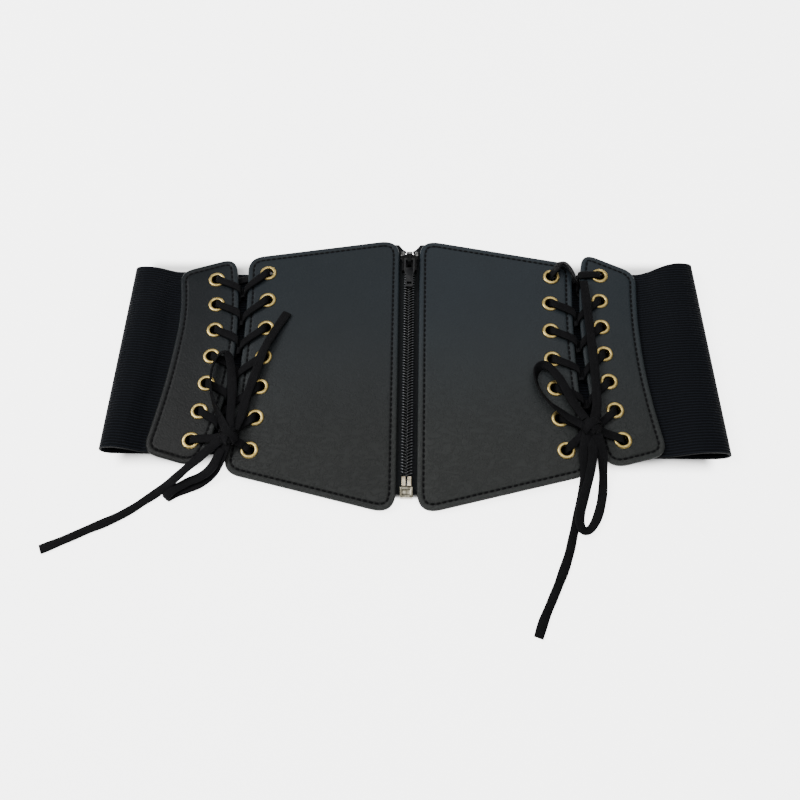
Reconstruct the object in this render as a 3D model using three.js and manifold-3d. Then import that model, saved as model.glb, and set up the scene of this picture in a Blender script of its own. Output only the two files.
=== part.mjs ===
// A corset belt as it lies flat on a table, zip closed and both laces tied in bows.
// Millimetres, +X along the belt, +Y towards its upper edge, +Z up from the table.
// The origin is on the table under the middle of the belt. Free lace ends reach further out.
import * as THREE from 'three';
import { mergeVertices } from 'three/addons/utils/BufferGeometryUtils.js';
import Module from 'manifold-3d';

const wasm = await Module();
wasm.setup();

// Overall sizes. The two plies of the loop lie on each other, folded at the left and right ends.
const LOOP_WIDTH = 327;
const ZIP_X = -3.2;
const ZIP_GAP = 11.6;
const LACE_GAP = 3.4;
const CLEAR = 0.3;

// Leather panels: width from the inner edge, height along it, and the size of a rounded corner
const LEATHER = 2.0;
const FRONT = { start: ZIP_GAP / 2, width: 88, height: 167, corner: 9 };
const SIDE = { start: FRONT.start + FRONT.width + LACE_GAP, width: 32.5, height: 131.5, corner: 8.5 };

// How high the front layer lies: its underside is level in the middle, sinks outwards along the side
// panels, and droops towards the table below the elastic band's lower edge.
const FRONT_RISE = 4.6;
const SIDE_FALL = 0.7;
const DROOP = 3.0;
const DROOP_START = -23;

// Elastic band
const ELASTIC = { thick: 1.2, height: 112, middle: 5.5, seam: 9, flare: 4.3 };
const FOLD = { rise: 9.4, lean: 6.4 };

// Eyelets: across the rim, the barrel and the hole, and how far the rim stands up
const EYELET = { rim: 9.5, barrel: 6.6, hole: 5.6, proud: 0.7, sides: 9, pairs: 7 };

// Flat lace
const LACE = { width: 4.0, thick: 1.2 };
const KNOT = { long: 11, wide: 9.6, deep: 6, lift: 5.3 };
const SLACK = 8.5;

// Zip: tapes, coil chain, stops, slider with its pull tab, and the separating end. Places along it
// are measured down from the front panels' upper corners, or up from their lower ones.
const ZIP_TOP = FRONT.height / 2;
const ZIP_END = -FRONT.height / 2;
const ZIP_ROWS = 20;
const TAPE = { width: 15, thick: 0.5, top: ZIP_TOP - 7.7, bottom: ZIP_END + 11.1, slit: 0.2 };
const COIL = { width: 2.95, thick: 2.2, slit: 0.15, top: ZIP_TOP - 12.3, bottom: ZIP_END + 20.3 };
const PART = { from: ZIP_TOP - 17, full: ZIP_TOP - 10.5, out: 2.6 };
const STOP = { width: 2.0, length: 3.2, thick: 2.0 };
const SLIDER = { width: 10.2, tail: 8.2, length: 12.8, middle: ZIP_TOP - 16.5, plate: 1.2, wall: 0.55 };
const WEDGE = { width: 1.6, length: 3.0, ahead: 4.7 };
const BAIL = { width: 2.2, length: 9.2, inside: 2.7, bar: 1.0 };
const TAB = { length: 18.6, wide: 6.0, narrow: 4.1, thick: 1.2, window: 4.0, slot: 2.7, tilt: 3.5 };
const PIN = { width: 2.0, length: 5.4, thick: 2.0, slit: 0.45 };
const RETAINER = { width: 6.6, length: 5.6, top: 2.6, wall: 0.6, y: ZIP_END + 11.7 };

// Corners of the four panels. Across is a share of the panel's width outwards from its inner edge,
// up is a share of its height, and round is the size of a corner that is rounder than the others.
// A bow is how far an edge bends towards the zip, and at says where.
const PANELS = {
  front_left: {
    side: -1, size: FRONT, laced: 'outer',
    topInner: { across: 0, up: 0.5, round: 12 }, topOuter: { across: 0.992, up: 0.418 },
    bottomOuter: { across: 1.012, up: -0.373 }, bottomInner: { across: -0.006, up: -0.502, round: 13 },
    inner: { bow: 0, at: 0.5 }, outer: { bow: 0.035, at: 0.5 },
  },
  front_right: {
    side: 1, size: FRONT, laced: 'outer',
    topInner: { across: 0, up: 0.5, round: 12 }, topOuter: { across: 0.992, up: 0.4 },
    bottomOuter: { across: 1.01, up: -0.368 }, bottomInner: { across: -0.006, up: -0.502, round: 13 },
    inner: { bow: 0, at: 0.5 }, outer: { bow: 0.035, at: 0.5 },
  },
  side_left: {
    side: -1, size: SIDE, laced: 'inner',
    topInner: { across: 0.095, up: 0.532 }, topOuter: { across: 1.08, up: 0.456 },
    bottomOuter: { across: 1.255, up: -0.391 }, bottomInner: { across: 0.31, up: -0.46 },
    inner: { bow: 0.27, at: 0.52 }, outer: { bow: 0.18, at: 0.36 },
  },
  side_right: {
    side: 1, size: SIDE, laced: 'inner',
    topInner: { across: 0.07, up: 0.57 }, topOuter: { across: 0.985, up: 0.465 },
    bottomOuter: { across: 1.157, up: -0.379 }, bottomInner: { across: 0.14, up: -0.451, round: 13 },
    inner: { bow: 0.172, at: 0.42 }, outer: { bow: 0.14, at: 0.5 },
  },
};

// Eyelet columns: the top and bottom eyelet's place across the panel, the column's bow towards the
// zip, the top eyelet's height, and the pitch as a share of the panel's height
const COLUMNS = {
  front_left: { top: 0.85, bottom: 0.861, bow: 0.026, first: 0.353, pitch: 0.109 },
  front_right: { top: 0.849, bottom: 0.867, bow: 0.036, first: 0.344, pitch: 0.106 },
  side_left: { top: 0.385, bottom: 0.477, bow: 0.123, first: 0.414, pitch: 0.1262 },
  side_right: { top: 0.332, bottom: 0.446, bow: 0.106, first: 0.446, pitch: 0.1285 },
};

// How far down a lace drops from its eyelet to where it dives into the gap, pair by pair
const DROPS = {
  left: { side: [7, 7, 7, 7, 7, 7], front: [12, 12, 12, 12, 12, 12] },
  right: { side: [0.6, 12, 12, 12, 12, 12], front: [5.4, 7, 7, 7, 7, 7] },
};

// Each knot's place, outwards from the zip and up from the belt's middle
const KNOTS = {
  left: { x: 92, y: -44.5 },
  right: { x: 94.8, y: -37.7 },
};

// Routes of the free lace, outwards from the zip. Each row is x, y, z and the lace's roll in degrees,
// 0 where it lies flat and 90 where it stands on its edge.
const ROUTES = {
  bow_loop_left_up: [
    [94.6, -39.2, 12.4, 20], [97.6, -34, 11.6, 45], [101.0, -27.5, 11.2, 68], [103.9, -19, 11.1, 72],
    [105.1, -11, 11.1, 72], [104.6, -3.5, 11.1, 68], [102.7, 2.4, 10.8, 55], [99.6, 4.9, 10.3, 35],
    [96.9, 2.4, 9.9, 18], [94.9, -5, 9.8, 8], [93.6, -13, 9.8, 0], [92.8, -22, 10.1, 0],
    [92.2, -31, 11.2, 0], [91.6, -38.6, 12.9, 0],
  ],
  bow_loop_left_down: [
    [93.4, -50.3, 10.2, 0], [96.0, -57.0, 6.9, 0], [100.2, -63.2, 3.4, 0], [105.6, -67.3, 1.5, 0],
    [112.2, -69.9, 0.8, 0], [118.3, -72.5, 0.8, 0], [121.6, -74.5, 0.8, 0], [123.1, -75.4, 1.7, 0],
    [121.6, -73.9, 2.6, 0], [118.2, -70.6, 2.5, 0], [112.0, -66.2, 2.6, 0], [105.8, -62.2, 4.2, 0],
    [100.3, -57.4, 7.6, 0], [97.6, -51.9, 9.6, 0],
  ],
  lace_tail_left_up: [
    [87.9, -39.6, 11.0, 0], [86.9, -33, 10.2, 0], [85.9, -26, 9.9, 0], [84.4, -19, 10.0, 0],
    [82.7, -12, 10.2, 0], [80.8, -4, 10.2, 0], [79.1, 3.9, 10.2, 0], [76.4, 12, 9.9, 0],
    [73.3, 19.6, 9.0, 0], [70.4, 26, 8.2, 0], [67.6, 31.9, 7.7, 0],
  ],
  lace_tail_left_down: [
    [97.9, -46.9, 11.4, 0], [101.8, -50.2, 10.2, 0], [106.4, -53.4, 9.2, 0], [111.6, -57.2, 7.9, 0],
    [117.6, -62.4, 4.9, 0], [123.0, -67.2, 2.3, 0], [128.6, -72.2, 1.0, 0], [133.6, -76.7, 0.75, 0],
    [139.0, -80.9, 0.75, 0], [145.0, -84.8, 0.75, 0], [151.8, -88.4, 0.75, 0], [159.3, -91.9, 0.75, 0],
    [167.0, -95.8, 0.75, 0], [174.7, -99.5, 0.75, 0], [182.4, -103, 0.75, 0],
  ],
  bow_loop_right_up: [
    [88.6, -36.9, 12.3, 0], [84.6, -33.2, 11.2, 15], [79.6, -28.4, 10.4, 35], [74.2, -23.2, 10.2, 55],
    [70.0, -16.6, 9.9, 65], [68.0, -9.6, 9.7, 65], [68.7, -4.2, 9.7, 50], [71.4, -1.2, 9.7, 30],
    [74.6, -1.5, 9.8, 10], [77.8, -5.2, 10.1, 0], [81.2, -11, 10.3, 0], [84.4, -18, 10.3, 0],
    [87.4, -25, 10.9, 0], [90.4, -31.6, 12.6, 0],
  ],
  bow_loop_right_down: [
    [98.6, -42.9, 11.2, 0], [99.7, -49.5, 9.4, 0], [100.2, -57, 5.6, 10], [100.3, -64.5, 2.6, 20],
    [99.4, -72, 1.6, 20], [97.4, -79.5, 1.5, 20], [94.8, -85.6, 1.6, 20], [91.5, -89.9, 2.3, 15],
    [88.2, -90.3, 2.6, 5], [86.9, -86.4, 2.6, 0], [87.8, -79.9, 2.9, 0], [89.9, -72.2, 5.0, 0],
    [92.2, -64.6, 7.9, 0], [94.1, -56.2, 9.7, 0], [95.0, -48.4, 10.2, 0], [95.0, -43.2, 10.4, 0],
  ],
  lace_tail_right_up: [
    [97.5, -32.4, 11.9, 0], [98.6, -26, 10.9, 0], [99.3, -18, 10.2, 0], [99.6, -9, 9.9, 0],
    [99.6, 0, 9.8, 0], [99.4, 10, 9.8, 0], [99.1, 20, 9.8, 0], [98.8, 30, 9.8, 0],
    [98.6, 38, 9.7, 0], [98.4, 45, 9.5, 0], [98.2, 51, 9.3, 0],
  ],
  lace_tail_right_down: [
    [90.9, -42.5, 11.6, 0], [90.4, -49, 9.6, 0], [90.4, -56, 8.1, 0], [90.2, -63, 6.3, 0],
    [89.4, -70, 3.2, 0], [87.8, -77, 1.2, 0], [85.8, -84.5, 0.75, 0], [83.4, -92.5, 0.75, 0],
    [80.6, -100.5, 0.75, 0], [77.3, -108.5, 0.75, 0], [73.8, -116.8, 0.75, 0],
    [70.2, -125.4, 0.75, 0], [66.7, -134.2, 0.75, 0], [63.5, -142.9, 0.75, 0],
  ],
};

const material = (color, roughness, metalness) =>
  new THREE.MeshStandardMaterial({ color, roughness, metalness });
const leather = material(0x2c2f31, 0.42, 0);
const elastic = material(0x0f1012, 0.9, 0);
const laceBlack = material(0x0a0a0c, 0.85, 0);
const tapeBlack = material(0x121316, 0.9, 0);
const nylon = material(0x1a1b1e, 0.35, 0);
const brass = material(0xb08a45, 0.35, 1);
const blackMetal = material(0x1b1c1f, 0.35, 0.7);
const nickel = material(0xc8c6bf, 0.25, 1);

const belt = new THREE.Group();
belt.name = 'corset_belt';

// Closed solids
const clamp = THREE.MathUtils.clamp;
const lerp = THREE.MathUtils.lerp;
const smooth = THREE.MathUtils.smoothstep;

function merged(geometry) {
  const bare = geometry.index ? geometry.toNonIndexed() : geometry.clone();
  for (const name of ['normal', 'uv']) bare.deleteAttribute(name);
  return mergeVertices(bare, 1e-5);
}

function signedVolume(geometry) {
  const at = i => new THREE.Vector3().fromBufferAttribute(geometry.attributes.position, i);
  const index = geometry.index.array;
  let volume = 0;
  for (let i = 0; i < index.length; i += 3) {
    volume += at(index[i]).dot(at(index[i + 1]).cross(at(index[i + 2]))) / 6;
  }
  return volume;
}

// Turns a shape's faces outwards after it was bent or mirrored.
function outward(geometry) {
  if (signedVolume(geometry) > 0) return geometry;
  const index = geometry.index.array;
  for (let i = 0; i < index.length; i += 3) [index[i], index[i + 1]] = [index[i + 1], index[i]];
  return geometry;
}

// Moves each vertex to where place(vertex) puts it.
function bend(geometry, place) {
  const bent = merged(geometry);
  const position = bent.attributes.position;
  for (let i = 0; i < position.count; i += 1) {
    const spot = place(new THREE.Vector3().fromBufferAttribute(position, i));
    position.setXYZ(i, spot.x, spot.y, spot.z);
  }
  return outward(bent);
}

function solid(geometry) {
  const ready = outward(merged(geometry));
  return new wasm.Manifold(new wasm.Mesh({
    numProp: 3,
    vertProperties: new Float32Array(ready.attributes.position.array),
    triVerts: new Uint32Array(ready.index.array),
  }));
}

function unsolid(manifold) {
  const mesh = manifold.getMesh();
  const geometry = new THREE.BufferGeometry();
  geometry.setAttribute('position', new THREE.BufferAttribute(mesh.vertProperties, 3));
  geometry.setIndex(new THREE.BufferAttribute(mesh.triVerts, 1));
  return geometry;
}

function add(name, geometry, finish) {
  const mesh = new THREE.Mesh(geometry, finish);
  mesh.name = name;
  mesh.geometry.computeVertexNormals();
  belt.add(mesh);
  return mesh;
}

// A block with its own corner and size, moved into place.
function block(width, length, height, x, y, z) {
  return new THREE.BoxGeometry(width, length, height).translate(x, y, z);
}

// The front layer's height and slope. Out is the distance from the zip.
function droop(y) {
  return DROOP * (Math.max(DROOP_START - y, 0) / (DROOP_START + FRONT.height / 2)) ** 2;
}

function underside(out, y) {
  const beyond = clamp((out - FRONT.start - FRONT.width) / (LACE_GAP + SIDE.width), 0, 1.3);
  return FRONT_RISE - SIDE_FALL * beyond - droop(y);
}

// A frame that stands on the front layer, for rigid pieces.
function seated(side, out, y) {
  const step = 1;
  const slopeY = (underside(out, y + step) - underside(out, y - step)) / (2 * step);
  const slopeX = side * (underside(out + step, y) - underside(out - step, y)) / (2 * step);
  const matrix = new THREE.Matrix4().makeRotationFromEuler(
    new THREE.Euler(Math.atan(slopeY), -Math.atan(slopeX), 0));
  return matrix.setPosition(ZIP_X + side * out, y, underside(out, y));
}

// Panel outlines: a smooth bump that is 1 where at says and 0 at both ends of an edge
function bump(share, at) {
  return share < at ? 1 - ((at - share) / at) ** 2 : 1 - ((share - at) / (1 - at)) ** 2;
}

function corner(panel, name) {
  const { size } = panel;
  return new THREE.Vector2(size.start + panel[name].across * size.width, panel[name].up * size.height);
}

// The place on a panel's inner or outer edge, at a share of the way from its top to its bottom.
function edgePoint(panel, edge, share) {
  const [top, bottom] = edge === 'inner' ? ['topInner', 'bottomInner'] : ['topOuter', 'bottomOuter'];
  const point = corner(panel, top).lerp(corner(panel, bottom), share);
  point.x -= panel[edge].bow * panel.size.width * bump(share, panel[edge].at);
  return point;
}

// How far from the zip a panel's edge lies at height y.
function edgeAt(panel, edge, y) {
  const top = edgePoint(panel, edge, 0).y;
  const bottom = edgePoint(panel, edge, 1).y;
  return edgePoint(panel, edge, clamp((top - y) / (top - bottom), 0, 1)).x;
}

function outline(panel) {
  const steps = 7;
  const rounded = name => panel[name].round ?? panel.size.corner;
  const along = (edge, shares) => shares.map(share => edgePoint(panel, edge, share));
  const share = (edge, i) => {
    const length = edgePoint(panel, edge, 0).distanceTo(edgePoint(panel, edge, 1));
    const [top, bottom] = edge === 'inner' ? ['topInner', 'bottomInner'] : ['topOuter', 'bottomOuter'];
    return lerp(rounded(top) / length, 1 - rounded(bottom) / length, i / steps);
  };
  const shares = edge => Array.from({ length: steps + 1 }, (_, i) => share(edge, i));
  const down = along('outer', shares('outer'));
  const up = along('inner', shares('inner')).reverse();
  const turn = (from, to) => {
    const a = corner(panel, from);
    const b = corner(panel, to);
    const whole = a.distanceTo(b);
    const start = a.clone().lerp(b, rounded(from) / whole);
    return { start, end: a.clone().lerp(b, 1 - rounded(to) / whole), a, b };
  };
  const top = turn('topInner', 'topOuter');
  const bottom = turn('bottomOuter', 'bottomInner');
  const shape = new THREE.Shape();
  shape.moveTo(top.start.x, top.start.y);
  shape.lineTo(top.end.x, top.end.y);
  shape.quadraticCurveTo(top.b.x, top.b.y, down[0].x, down[0].y);
  for (const point of down.slice(1)) shape.lineTo(point.x, point.y);
  shape.quadraticCurveTo(bottom.a.x, bottom.a.y, bottom.start.x, bottom.start.y);
  shape.lineTo(bottom.end.x, bottom.end.y);
  shape.quadraticCurveTo(bottom.b.x, bottom.b.y, up[0].x, up[0].y);
  for (const point of up.slice(1)) shape.lineTo(point.x, point.y);
  shape.quadraticCurveTo(top.a.x, top.a.y, top.start.x, top.start.y);
  return shape;
}

// The centre of one eyelet, outwards from the zip and up.
function eyeletPoint(name, index) {
  const { size } = PANELS[name];
  const column = COLUMNS[name];
  const share = index / (EYELET.pairs - 1);
  const across = lerp(column.top, column.bottom, share) - 4 * column.bow * share * (1 - share);
  const up = column.first - index * column.pitch;
  return new THREE.Vector2(size.start + across * size.width, up * size.height);
}

function round(radius, height, x, y, z, sides) {
  return new THREE.CylinderGeometry(radius, radius, height, sides).rotateX(Math.PI / 2).translate(x, y, z);
}

// A leather wall that follows the front layer, cut to its outline and punched for its eyelets
function makePanel(name) {
  const panel = PANELS[name];
  const { size, side } = panel;
  const margin = 20;
  const rows = 14;
  const wide = name.startsWith('front') ? size.width + LACE_GAP : size.width * 1.4;
  const start = size.start - LACE_GAP / 2;
  const sheet = bend(new THREE.BoxGeometry(1, 1, 1, 1, rows, 1), spot => {
    const out = start + (spot.x + 0.5) * wide;
    const y = spot.y * (size.height + margin);
    return new THREE.Vector3(out, y, underside(out, y) + (spot.z + 0.5) * LEATHER);
  });
  const depth = FRONT_RISE * 4;
  const prism = new THREE.ExtrudeGeometry(outline(panel), { depth, bevelEnabled: false, curveSegments: 4 })
    .translate(0, 0, -depth / 2);
  let body = solid(sheet).intersect(solid(prism));
  for (let i = 0; i < EYELET.pairs; i += 1) {
    const centre = eyeletPoint(name, i);
    const hole = round(EYELET.barrel / 2 + CLEAR, LEATHER * 4, 0, 0, LEATHER / 2, EYELET.sides);
    const place = seated(1, centre.x, centre.y);
    place.elements[12] = centre.x;
    body = body.subtract(solid(hole.applyMatrix4(place)));
  }
  return bend(unsolid(body), spot => new THREE.Vector3(ZIP_X + side * spot.x, spot.y, spot.z));
}

for (const name of Object.keys(PANELS)) {
  const [kind, side] = name.split('_');
  add(`${kind}_panel_${side}`, makePanel(name), leather);
}

// Eyelets: a barrel through the leather and a rounded rim on top of it
const rimLift = LEATHER + CLEAR / 3;
const eyeletProfile = [
  [EYELET.hole, 0], [EYELET.barrel, 0], [EYELET.barrel, rimLift], [EYELET.rim, rimLift],
  [(EYELET.rim + EYELET.hole) / 2, rimLift + EYELET.proud], [EYELET.hole, rimLift], [EYELET.hole, 0],
].map(([across, up]) => new THREE.Vector2(across / 2, up));

for (const [name, panel] of Object.entries(PANELS)) {
  for (let i = 0; i < EYELET.pairs; i += 1) {
    const centre = eyeletPoint(name, i);
    const ring = new THREE.LatheGeometry(eyeletProfile, EYELET.sides).rotateX(Math.PI / 2);
    const place = seated(panel.side, centre.x, centre.y);
    add(`eyelet_${name}_${i + 1}`, bend(ring, spot => spot.applyMatrix4(place)), brass);
  }
}

// The elastic band: one wall from under one side panel, round the fold, along the table at the back,
// round the other fold and under the other side panel. Rows of one half, from the seam to the middle
// of the back: run is the share of the way from the panel's edge to the fold, less than 0 under the
// panel, and up is a share of the fold's rise, or null just under the panel.
const HALF_BAND = [
  { run: -1, up: null }, { run: 0, up: null }, { run: 0.2, up: 0.46 }, { run: 0.38, up: 0.74 },
  { run: 0.56, up: 0.94 }, { run: 0.74, up: 1 }, { run: 0.89, up: 0.93 }, { run: 0.975, up: 0.75 },
  { run: 1, up: 0.48 }, { run: 0.975, up: 0.24 }, { run: 0.9, up: 0.1 }, { run: 0.78, up: 0 },
  { run: 0.3, up: 0 },
];
const BAND_ROWS = 5;

function bandHalf(side) {
  const panel = PANELS[side < 0 ? 'side_left' : 'side_right'];
  const half = ELASTIC.thick / 2;
  return HALF_BAND.map(({ run, up }) => share => {
    const flare = side > 0 ? ELASTIC.flare * smooth(run, 0, 0.8) * share : 0;
    const y = ELASTIC.middle + (share - 0.5) * ELASTIC.height + flare;
    const fold = LOOP_WIDTH / 2 - half - side * ZIP_X - FOLD.lean * share * (side > 0 ? 0.85 : 0.45);
    const edge = edgeAt(panel, 'outer', y);
    const out = run < 0 ? edge + run * ELASTIC.seam : lerp(edge, fold, run);
    const seam = underside(out, y) - CLEAR - half;
    const z = up === null ? seam : half + up * (FOLD.rise - half * 2);
    return new THREE.Vector3(ZIP_X + side * out, y, Math.max(z, half));
  });
}

const bandStations = [...bandHalf(-1), ...bandHalf(1).reverse()];

const band = bend(
  new THREE.BoxGeometry(1, 1, 1, bandStations.length - 1, BAND_ROWS, 1), spot => {
    const station = Math.round((spot.x + 0.5) * (bandStations.length - 1));
    const share = spot.y + 0.5;
    const here = bandStations[station](share);
    const before = bandStations[Math.max(station - 1, 0)](share);
    const after = bandStations[Math.min(station + 1, bandStations.length - 1)](share);
    const along = after.sub(before).setY(0).normalize();
    const normal = new THREE.Vector3(-along.z, 0, along.x);
    return here.addScaledVector(normal, spot.z * ELASTIC.thick);
  });
add('elastic_band', band, elastic);

// Zip tapes and coils. Above the slider's wedge the two halves part.
function parting(y) {
  return PART.out * smooth(y, PART.from, PART.full);
}

function zipStrip(side, inner, width, bottom, top, lift, thick, rows) {
  return bend(new THREE.BoxGeometry(1, 1, 1, 1, rows, 1), spot => {
    const y = lerp(bottom, top, spot.y + 0.5);
    const out = inner + parting(y) + (spot.x + 0.5) * width;
    const z = underside(out, y) + lift + (spot.z + 0.5) * thick;
    return new THREE.Vector3(ZIP_X + side * out, y, z);
  });
}

const tapeLift = -CLEAR - TAPE.thick;
const coilLift = 0;
for (const [side, name] of [[-1, 'left'], [1, 'right']]) {
  const tapeWidth = TAPE.width - TAPE.slit;
  add(`zip_tape_${name}`, zipStrip(
    side, TAPE.slit, tapeWidth, TAPE.bottom, TAPE.top, tapeLift, TAPE.thick, ZIP_ROWS), tapeBlack);
  add(`zip_coil_${name}`, zipStrip(
    side, COIL.slit, COIL.width, COIL.bottom, COIL.top, coilLift, COIL.thick, ZIP_ROWS), nylon);
  const stopOut = COIL.slit + PART.out + COIL.width / 2;
  const stopY = COIL.top + CLEAR + STOP.length / 2;
  const stop = block(STOP.width, STOP.length, STOP.thick, 0, 0, STOP.thick / 2);
  add(`top_stop_${name}`, bend(stop, spot => spot.applyMatrix4(seated(side, stopOut, stopY))), nickel);
}

// The slider: a plate above the chain and one below the tapes, joined by the wedge that parts the
// halves, with walls down the chain's sides and the bail on top
const sliderTop = coilLift + COIL.thick + CLEAR;
const sliderBottom = tapeLift - CLEAR - SLIDER.plate;

function sliderPlate(lift) {
  const [wide, tail, half] = [SLIDER.width / 2, SLIDER.tail / 2, SLIDER.length / 2];
  const shape = new THREE.Shape();
  shape.moveTo(-tail, -half);
  shape.lineTo(tail, -half);
  shape.lineTo(tail, 0);
  shape.lineTo(wide, half * 0.25);
  shape.lineTo(wide, half * 0.5);
  shape.lineTo(WEDGE.width * 1.1, half * 0.68);
  shape.lineTo(WEDGE.width, half);
  shape.lineTo(-WEDGE.width, half);
  shape.lineTo(-WEDGE.width * 1.1, half * 0.68);
  shape.lineTo(-wide, half * 0.5);
  shape.lineTo(-wide, half * 0.25);
  shape.lineTo(-tail, 0);
  return new THREE.ExtrudeGeometry(shape, { depth: SLIDER.plate, bevelEnabled: false, curveSegments: 3 })
    .translate(0, 0, lift);
}

function bailArch() {
  const [half, bar, inside] = [BAIL.length / 2, BAIL.bar, BAIL.inside];
  const shape = new THREE.Shape();
  shape.moveTo(-half, 0);
  shape.lineTo(-half + bar, 0);
  shape.lineTo(-half + bar * 1.4, inside * 0.7);
  shape.lineTo(-half + bar * 2.4, inside);
  shape.lineTo(half - bar * 2.4, inside);
  shape.lineTo(half - bar * 1.4, inside * 0.7);
  shape.lineTo(half - bar, 0);
  shape.lineTo(half, 0);
  shape.lineTo(half - bar * 0.4, inside * 0.8);
  shape.lineTo(half - bar * 2, inside + bar);
  shape.lineTo(-half + bar * 2, inside + bar);
  shape.lineTo(-half + bar * 0.4, inside * 0.8);
  return new THREE.ExtrudeGeometry(shape, { depth: BAIL.width, bevelEnabled: false })
    .translate(0, 0, -BAIL.width / 2)
    .rotateX(Math.PI / 2)
    .rotateZ(Math.PI / 2);
}

let slider = solid(sliderPlate(sliderTop)).add(solid(sliderPlate(sliderBottom)));
const sink = 0.05;
const wedgeHeight = sliderTop - sliderBottom;
slider = slider.add(solid(block(
  WEDGE.width, WEDGE.length, wedgeHeight, 0, WEDGE.ahead, sliderBottom + wedgeHeight / 2)));
for (const side of [-1, 1]) {
  const wallHeight = COIL.thick + sink;
  const wallOut = SLIDER.tail / 2 - SLIDER.wall / 2;
  slider = slider.add(solid(block(
    SLIDER.wall, SLIDER.length * 0.34, wallHeight,
    side * wallOut, -SLIDER.length * 0.33, sliderTop + sink - wallHeight / 2)));
}
slider = slider.add(solid(bailArch().translate(0, 0, sliderTop + SLIDER.plate - sink)));
const sliderPlace = seated(1, 0, SLIDER.middle);
add('slider_body', bend(unsolid(slider), spot => spot.applyMatrix4(sliderPlace)), blackMetal);

// The pull tab hangs by its top bar under the bail and lies down along the chain.
const hinge = new THREE.Vector3(
  ZIP_X, SLIDER.middle, underside(0, SLIDER.middle) + sliderTop + SLIDER.plate + BAIL.inside / 2);

function pullTab() {
  const bar = TAB.thick / 2;
  const shape = new THREE.Shape();
  shape.moveTo(-TAB.wide / 2, bar);
  shape.lineTo(TAB.wide / 2, bar);
  shape.lineTo(TAB.wide / 2, -TAB.length * 0.42);
  shape.lineTo(TAB.narrow / 2, -TAB.length * 0.55);
  shape.lineTo(TAB.narrow / 2, bar - TAB.length + 0.5);
  shape.lineTo(TAB.narrow / 2 - 0.5, bar - TAB.length);
  shape.lineTo(-TAB.narrow / 2 + 0.5, bar - TAB.length);
  shape.lineTo(-TAB.narrow / 2, bar - TAB.length + 0.5);
  shape.lineTo(-TAB.narrow / 2, -TAB.length * 0.55);
  shape.lineTo(-TAB.wide / 2, -TAB.length * 0.42);
  const hole = (width, from, to) => {
    const path = new THREE.Path();
    path.moveTo(-width / 2, from);
    path.lineTo(-width / 2, to);
    path.lineTo(width / 2, to);
    path.lineTo(width / 2, from);
    return path;
  };
  shape.holes.push(hole(TAB.window, -bar, -bar - BAIL.length / 2 - BAIL.bar * 0.6));
  shape.holes.push(hole(TAB.slot, -TAB.length * 0.8, -TAB.length * 0.88));
  return new THREE.ExtrudeGeometry(shape, { depth: TAB.thick, bevelEnabled: false })
    .translate(0, 0, -TAB.thick / 2);
}

const tabPlace = new THREE.Matrix4()
  .makeRotationX(THREE.MathUtils.degToRad(TAB.tilt))
  .setPosition(hinge);
add('pull_tab', bend(pullTab(), spot => spot.applyMatrix4(tabPlace)), blackMetal);

// The separating end: a pin at the foot of each coil, and the retainer box that holds them
const boxTop = RETAINER.y + RETAINER.length / 2;
for (const [side, name] of [[-1, 'insertion_pin'], [1, 'box_pin']]) {
  const y = boxTop + CLEAR + PIN.length / 2;
  const pin = block(PIN.width, PIN.length, PIN.thick, 0, 0, PIN.thick / 2);
  const place = seated(side, PIN.slit + PIN.width / 2, y);
  add(name, bend(pin, spot => spot.applyMatrix4(place)), nickel);
}

const boxHeight = RETAINER.top - tapeLift + CLEAR + RETAINER.wall;
const slotLength = RETAINER.length / 2 + (RETAINER.y - TAPE.bottom) + CLEAR;
const boxFull = block(
  RETAINER.width, RETAINER.length, boxHeight, 0, 0, RETAINER.top - boxHeight / 2);
const boxSlot = block(
  RETAINER.width * 2, slotLength, TAPE.thick + CLEAR * 2, 0,
  RETAINER.length / 2 - slotLength / 2, tapeLift + TAPE.thick / 2);
const boxInset = block(
  RETAINER.width * 0.62, RETAINER.length * 0.5, 0.8, 0, -RETAINER.length * 0.04, RETAINER.top);
const boxPlace = seated(1, 0, RETAINER.y);
const box = solid(boxFull).subtract(solid(boxSlot)).subtract(solid(boxInset));
add('retainer_box', bend(unsolid(box), spot => spot.applyMatrix4(boxPlace)), nickel);

// A path of stations, each with a point and the way the lace's flat face looks. Every face turns the
// least way from the one before, so the lace never flips over between two stations. A station can
// also say which way the lace's width runs, where it bends slantwise round an edge.
class RibbonPath extends THREE.Curve {
  constructor(stations) {
    super();
    this.points = stations.map(station => station.point);
    this.frames = { tangents: [], normals: [], binormals: [] };
    let last = null;
    stations.forEach(({ face, across }, i) => {
      const before = this.points[Math.max(i - 1, 0)];
      const after = this.points[Math.min(i + 1, this.points.length - 1)];
      const tangent = after.clone().sub(before).normalize();
      const normal = face.clone();
      if (!across) normal.addScaledVector(tangent, -face.dot(tangent)).normalize();
      if (last) {
        const turn = new THREE.Quaternion().setFromUnitVectors(last.tangent, tangent);
        if (last.normal.clone().applyQuaternion(turn).dot(normal) < 0) normal.negate();
      }
      last = { tangent, normal };
      this.frames.tangents.push(tangent);
      this.frames.normals.push(normal);
      const binormal = tangent.clone().cross(normal);
      this.frames.binormals.push(
        across ? across.clone().multiplyScalar(Math.sign(across.dot(binormal))) : binormal);
    });
  }

  getSpacedPoints() {
    return this.points;
  }

  computeFrenetFrames() {
    return this.frames;
  }
}

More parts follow.
